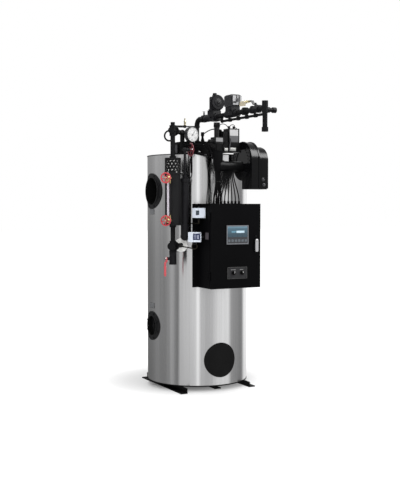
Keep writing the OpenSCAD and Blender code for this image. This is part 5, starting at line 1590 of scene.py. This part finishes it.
@dataclass
class ControlPanel:
    """Panel case, door, screen, switches, handle and pressure controls.

    Attributes:
        screen_rim: Width of the screen's frame.
        legend_rim: Distance of the legend from the edge of the switch plate.
        plate_screws: Half distances of the switch plate's screws across and up.
        case_side: Place of the case's left side.
        seal_inset: Distance of the door's seal from the door's edge.
        rails: Heights of the rails over the sub panel's middle.
        ducts: Heights of the wire ducts over it.
        controls: Place and height of the middle of each pressure control.
        control_y: Place of their middles from front to back.
        shell: Half width and half height of a control's shell, with a margin.
        control_screws: Half distances of a control's screws across and up.
        control_foot: Distance of a control's foot below its middle.
        side_plate: Place and height of the blank plate on the case's left side.
    """

    screen_rim: float = 7.5
    legend_rim: float = 3.0
    plate_screws: tuple[float, float] = (72.0, 34.0)
    case_side: float = -203.0
    seal_inset: float = 11.0
    rails: tuple[float, ...] = (150.0, -20.0, -170.0)
    ducts: tuple[float, ...] = (232.0, 66.0, -96.0)
    controls: tuple[tuple[float, float], ...] = ((-244.0, 1331.0), (-278.0, 1159.0))
    control_y: float = -504.0
    shell: tuple[float, float] = (33.4, 35.4)
    control_screws: tuple[float, float] = (27.0, 28.0)
    control_foot: float = 34.8
    side_plate: tuple[float, float] = (-552.0, 1166.0)

    def dress(self) -> None:
        """Gives the CAD nodes their finishes."""
        PANEL_BLACK.dress("panel_case", "panel_door", "panel_bracket")
        Paint("sub_panel_white", tone(206, 207, 204), 0.5, cloud=0.06).dress("sub_panel")
        satin = Brushed("handle_satin", (0.42, 0.42, 0.43), 0.36, waves=(500.0, 500.0, 6.0))
        satin.dress("door_handle")
        BEZEL.dress("touch_screen")
        Print("switch_card", tone(26, 26, 28), 0.6).dress("switch_plate")
        KNOB.dress("left_selector", "right_selector")
        boxes = tuple(tuple(part * MM for part in (*middle, *self.shell)) for middle in self.controls)
        Boxed("control_shell", SHELL_WHITE.colour, 0.42, cloud=0.06, shine=0.3, other=tone(24, 24, 25),
              boxes=boxes).dress("pressure_controls")
        bronze = Brushed("tube_bronze", (0.035, 0.03, 0.024), 0.45, waves=(90.0, 90.0, 90.0), spread=0.25)
        bronze.dress("pressure_tubes")

    def build(self) -> None:
        """Adds the lit pane, legends, lock, inner parts and the controls' windows."""
        self._screen()
        self._switches()
        self._door()
        self._inside()
        self._controls()

    def _screen(self) -> None:
        """Adds the lit pane of the touch screen."""
        screen = span("touch_screen")
        width, _, height = screen.size - 2 * self.screen_rim
        lit = Print("screen_picture", tone(40, 60, 72), 0.18, Layout.SCREEN, glow=0.2)
        place = (screen.mid[0], screen.low[1] + 1.9, screen.mid[2])
        piece("screen_pane", pad(width, height, 1.0, 3.0, 0.3).facing(FRONT, place), lit, body="panel_door")

    def _switches(self) -> None:
        """Adds the switch plate's legend and screws, and the selectors' marks."""
        plate = span("switch_plate")
        x, front, z = plate.mid[0], plate.low[1], plate.mid[2]
        width, _, height = plate.size - 2 * self.legend_rim
        legend = Print("switch_legend", tone(30, 30, 32), 0.6, Layout.SWITCH, tone(120, 120, 120))
        face = pad(width, height, 0.4, 5.0, 0.2).facing(FRONT, (x, front + 0.2, z))
        piece("switch_legend_face", face, legend, body="panel_door")
        screw = lathe([(4, 0), (4, 1), (3, 2.2), (1, 2.8)], 18)
        wide, high = self.plate_screws
        corners = [(x + side, front + 0.1, z + up) for side in (-wide, wide) for up in (-high, high)]
        piece("switch_screws", screw.facing(FRONT, *corners), KNOB, body="panel_door")
        mark = pad(2.4, 12.0, 0.7, 0.8, 0.2)
        for name in ("left_selector", "right_selector"):
            knob = span(name)
            place = (knob.mid[0], knob.low[1] + 0.1, knob.mid[2] + 6)
            piece(name + "_mark", mark.facing(FRONT, place), WHITE, body=name)

    def _door(self) -> None:
        """Adds the handle's lock, the latch and the seal behind the door's edge."""
        handle, door = span("door_handle"), span("panel_door")
        x, top = handle.mid[0], handle.high[2]
        lock = lathe([(8.5, 0), (8.5, 1.6), (7, 2.4), (3, 2.4)], 28)
        piece("handle_lock", lock.facing(FRONT, (x, handle.low[1] + 0.1, top - 13)), ZINC, body="door_handle")
        latch = lathe([(8, 0), (8, 5), (6.4, 7), (2, 7.6)], 28)
        piece("door_latch", latch.facing(FRONT, (x, door.low[1] + 0.1, top + 18)), KNOB, body="panel_door")
        width, height = door.high[0] - self.case_side, door.size[2]
        across, up = rounded(width - 2 * self.seal_inset, height - 2 * self.seal_inset, 8.0, 6).T
        path = np.stack([across, np.full(len(up), door.high[1] - 1.8), up + door.mid[2]], 1)
        piece("door_seal", sweep(path, 3.6, 8, side=(0, 1, 0), closed=True), RUBBER, body="panel_door")

    def _inside(self) -> None:
        """Fills the sub panel with rails, ducts, terminals, relays, a controller and breakers."""
        panel = span("sub_panel")
        face, middle = panel.low[1] + 0.1, panel.mid[2]
        rails, on_rail = [middle + height for height in self.rails], face - 6.5
        rail = pad(300.0, 35.0, 7.0, 1.0, 0.5)
        piece("din_rails", rail.facing(FRONT, *[(0, face, z) for z in rails]), ZINC)
        duct = pad(320.0, 34.0, 46.0, 2.0, 1.0)
        piece("wire_ducts", duct.facing(FRONT, *[(0, face, middle + height) for height in self.ducts]), GREY)
        rows = (("terminals", pad(11.0, 62.0, 44.0, 1.5, 1.0), -130 + np.arange(22) * 12.2, rails[2], WHITE),
                ("contactors", pad(44.0, 78.0, 70.0, 3.0, 1.5), (-120, -72, -24, 24), rails[1], GREY),
                ("controller", pad(200.0, 100.0, 60.0, 4.0, 2.0), (-40,), rails[0], KNOB),
                ("breakers", pad(17.5, 84.0, 64.0, 2.0, 1.0), (84, 103, 122), rails[0], SHELL_WHITE))
        for name, block, xs, height, finish in rows:
            piece(name, block.facing(FRONT, *[(x, on_rail, height) for x in xs]), finish)

    def _controls(self) -> None:
        """Adds windows, screws and fittings to the pressure controls, and the case's side plate."""
        front, y = span("pressure_controls").low[1] + 0.1, self.control_y
        (x, z), (lower_x, lower_z) = self.controls
        seat = pad(21.6, 29.6, 2.8, 1.0, 0.3)
        piece("window_seat", seat.facing(FRONT, (x - 16, front + 2.8, z)), SHELL_WHITE)
        dark = Print("window_dark", tone(16, 24, 32), 0.3, Layout.SCALE, tone(110, 124, 136))
        piece("upper_window", pad(27.0, 32.0, 0.8, 1.5, 0.3).facing(FRONT, (x - 30, front, z + 2)), dark)
        blue = Print("window_blue", tone(48, 55, 84), 0.34, Layout.SCALE, tone(190, 196, 214))
        place = (lower_x - 3, front, lower_z + 3)
        piece("lower_window", pad(60.0, 46.0, 0.8, 1.5, 0.3).facing(FRONT, place), blue)
        screw = lathe([(3.6, 0), (3.6, 1.2), (2.6, 2.2)], 16)
        wide, high = self.control_screws
        spots = [(x + side, front, z + up)
                 for x, z in self.controls for side in (-wide, wide) for up in (-high, high)]
        piece("control_screws", screw.facing(FRONT, *spots), ZINC)
        nut = lathe([(15, 0), (15, 5), (13.4, 6)], 6)
        spots = [(self.case_side - 0.1, y, z) for _, z in self.controls]
        piece("control_nuts", nut.facing(LEFT, *spots), KNOB)
        blank = Print("case_plate", tone(72, 68, 72), 0.42, second=tone(40, 38, 40))
        place = (self.case_side + 0.1, *self.side_plate)
        piece("case_side_plate", pad(50.0, 52.0, 1.2, 3.0, 0.4).facing(LEFT, place), blank)
        fitting = lathe([(11, 0), (11, 6), (9, 8), (9, 20), (7, 22)], 6)
        feet = [(x, y, z - self.control_foot) for x, z in self.controls]
        piece("control_fittings", fitting.facing(UNDER, *feet), IRON)


# Studio


@dataclass(frozen=True)
class Lamp:
    """A soft lamp that no reflection shows.

    Attributes:
        name: Its name.
        place: Its place in metres.
        size: Its width and height in metres.
        power: Its power in watts.
        aim: The place in metres that it faces.
    """

    name: str
    place: tuple[float, float, float]
    size: tuple[float, float]
    power: float
    aim: tuple[float, float, float] = (0.0, -0.2, 1.1)

    def hang(self) -> None:
        """Puts the lamp into the scene."""
        data = bpy.data.lights.new(self.name, "AREA")
        data.shape, data.energy = "RECTANGLE", self.power
        data.size, data.size_y = self.size
        made = bpy.data.objects.new(self.name, data)
        made.location = self.place
        x, y, z = np.array(self.aim) - np.array(self.place)
        pitch = math.acos(-z / math.sqrt(x * x + y * y + z * z))
        made.rotation_euler = (pitch, 0.0, math.atan2(y, x) - math.pi / 2)
        made.visible_glossy = False
        bpy.context.scene.collection.objects.link(made)


@dataclass
class Studio:
    """Camera, light, background, floor and the cards that only reflections show.

    Attributes:
        eye: Place of the camera in metres.
        yaw: Its turn to the right of +Y in degrees.
        dip: Its angle below the horizon in degrees.
        lens: Focal length over a 36 mm long side.
        air: Strength of the background's light on the boiler.
        floor: Half the width of the floor in metres.
        floor_drop: Distance of the floor under the rails in metres.
        lamps: The lamps.
        ring: Radius of the ring of cards in metres.
        ring_levels: Heights of the ring's rows of points in metres.
        bands: Angle from the camera in degrees, clockwise seen from above, and light of the ring there.
        box_middle: Middle of the sphere that the softbox is a patch of, in metres.
        box_reach: Radius of that sphere in metres.
        box_turn: First and last angle of the patch from the camera in degrees.
        box_rise: First and last height of the patch in degrees.
        box_light: Strength of the softbox.
        gap_x: Place of the gap card's edges in metres.
        gap_y: Places of its front and back edge in metres.
        gap_z: Heights of its lower and upper edge in metres.
        gap_bow: How far it bows out in metres.
        gap_wave: Radians of the bow per metre.
    """

    eye: tuple[float, float, float] = (-3.18013, -6.20719, 1.38243)
    yaw: float = 27.31612
    dip: float = 2.41323
    lens: float = 66.16669
    air: float = 0.26
    floor: float = 40.0
    floor_drop: float = 0.0005
    lamps: tuple[Lamp, ...] = (
        Lamp("key", (-3.2, -3.9, 3.2), (2.0, 2.6), 190.0), Lamp("side", (-4.6, -0.4, 2.4), (1.2, 2.6), 30.0),
        Lamp("fill", (3.6, -3.2, 2.4), (1.6, 2.6), 60.0), Lamp("top", (0.0, -0.4, 4.6), (3.0, 3.0), 90.0),
        Lamp("back", (1.2, 4.2, 3.2), (2.6, 2.0), 80.0))
    ring: float = 2.6
    ring_levels: tuple[float, ...] = (-1.6, 0.2, 1.2, 1.9, 3.0)
    bands: tuple[tuple[float, float], ...] = (
        (-180, 0.34), (-150, 0.2), (-118, 0.26), (-100, 0.35), (-78, 0.3), (-66, 0.36), (-54, 0.58),
        (-47, 0.3), (-42, 0.25), (-37, 0.75), (-8, 0.9), (-2, 0.95), (0, 1.45), (5, 1.4), (7, 0.8), (22, 0.7),
        (33, 0.76), (44, 1.05), (72, 1.2), (79, 0.5), (98, 0.42), (114, 0.3), (122, 0.44), (130, 1.2),
        (150, 1.2), (165, 0.6), (180, 0.34))
    box_middle: tuple[float, float, float] = (0.0, -0.3, 1.72)
    box_reach: float = 2.2
    box_turn: tuple[float, float] = (50.0, 78.0)
    box_rise: tuple[float, float] = (21.0, 58.0)
    box_light: float = 32.0
    gap_x: float = 0.096
    gap_y: tuple[float, float] = (-0.63, -0.4)
    gap_z: tuple[float, float] = (1.69, 1.79)
    gap_bow: float = 0.004
    gap_wave: float = 13.6

    def build(self) -> None:
        """Builds the whole studio."""
        view = bpy.context.scene.view_settings
        view.view_transform, view.look = "Standard", "None"
        self._camera()
        self._world()
        self._floor()
        for lamp in self.lamps:
            lamp.hang()
        self._ring()
        self._softbox()
        self._gap_card()

    def _camera(self) -> None:
        """Sets the camera in front of the boiler, a little to the left."""
        data = bpy.data.cameras.new("camera")
        data.lens, data.sensor_width = self.lens, 36.0
        made = bpy.data.objects.new("camera", data)
        made.location = self.eye
        made.rotation_euler = (math.radians(90 - self.dip), 0.0, math.radians(-self.yaw))
        bpy.context.scene.collection.objects.link(made)
        bpy.context.scene.camera = made

    def _world(self) -> None:
        """Makes a white background for camera, glossy and clear rays, and a softer light for the rest."""
        world = bpy.data.worlds.new("studio")
        graph = Graph(world)
        camera, glossy, clear = (graph.node("ShaderNodeLightPath", out=f"Is {kind} Ray")
                                 for kind in ("Camera", "Glossy", "Transmission"))
        soft, white = (graph.node("ShaderNodeBackground", {"Color": FULL_WHITE, "Strength": strength})
                       for strength in (self.air, 1.0))
        seen = camera.run("MAXIMUM", glossy).run("MAXIMUM", clear)
        graph.close(graph.node("ShaderNodeMixShader", {0: seen, 1: soft, 2: white}))
        bpy.context.scene.world = world

    def _floor(self) -> None:
        """Lays a pale level floor that only takes a faint shadow."""
        x, y = np.meshgrid([-self.floor, self.floor], [-self.floor, self.floor])
        places = np.stack([x, y, np.full(x.shape, -self.floor_drop)], -1) / MM
        pale = Ground("floor_white", (0.72, 0.72, 0.72))
        made = put("floor", skin(places, round_v=False, caps=False), pale)
        made.visible_glossy = False

    def _ring(self) -> None:
        """Stands a ring of light and dark cards round the boiler.

        The wall is (r sin a, -r cos a, z) about the boiler's axis, and its light follows the angle a.
        """
        a, z = np.meshgrid(np.radians(np.linspace(-180, 180, 361) - self.yaw), self.ring_levels)
        wall = np.stack([self.ring * np.sin(a), -self.ring * np.cos(a), z], -1)
        stops = tuple((0.5 + angle / 360, level) for angle, level in self.bands)
        self._card("card_ring", wall, Banded("card_ring", FULL_WHITE, stops=stops))

    def _softbox(self) -> None:
        """Hangs a bright bowed card at the right.

        The card is a patch of a sphere: m + r (cos e sin a, -cos e cos a, sin e) for angles a and heights e.
        """
        turn, rise = np.linspace(*self.box_turn, 24) - self.yaw, np.linspace(*self.box_rise, 24)
        a, e = np.meshgrid(np.radians(turn), np.radians(rise))
        ball = np.stack([np.cos(e) * np.sin(a), -np.cos(e) * np.cos(a), np.sin(e)], -1)
        places = np.array(self.box_middle) + self.box_reach * ball
        self._card("softbox", places, Glow("softbox", FULL_WHITE, strength=self.box_light))

    def _gap_card(self) -> None:
        """Stands a pale card beside the blower: a sheet bent along its length by a sine."""
        y, z = np.meshgrid(np.linspace(*self.gap_y, 8), np.linspace(*self.gap_z, 6))
        x = self.gap_x - self.gap_bow * np.sin((y - self.gap_y[1]) * self.gap_wave)
        self._card("gap_card", np.stack([x, y, z], -1), Glow("gap_card", FULL_WHITE))

    @staticmethod
    def _card(name: str, places: np.ndarray, finish: Finish) -> None:
        """Puts up a card that only glossy rays see.

        Args:
            name: Name of the card.
            places: (rows, columns, 3) places in metres.
            finish: Its light.
        """
        card = put(name, skin(places / MM, round_v=False, caps=False), finish)
        for kind in ("camera", "diffuse", "transmission", "volume_scatter", "shadow"):
            setattr(card, "visible_" + kind, False)


def main() -> None:
    """Dresses the boiler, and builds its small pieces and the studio."""
    logging.basicConfig(level=logging.INFO)
    for part in (Shell(), Burner(), GasTrain(), WaterTrim(), ControlPanel()):
        part.dress()
        part.build()
    Studio().build()


if __name__ == "__main__":
    main()
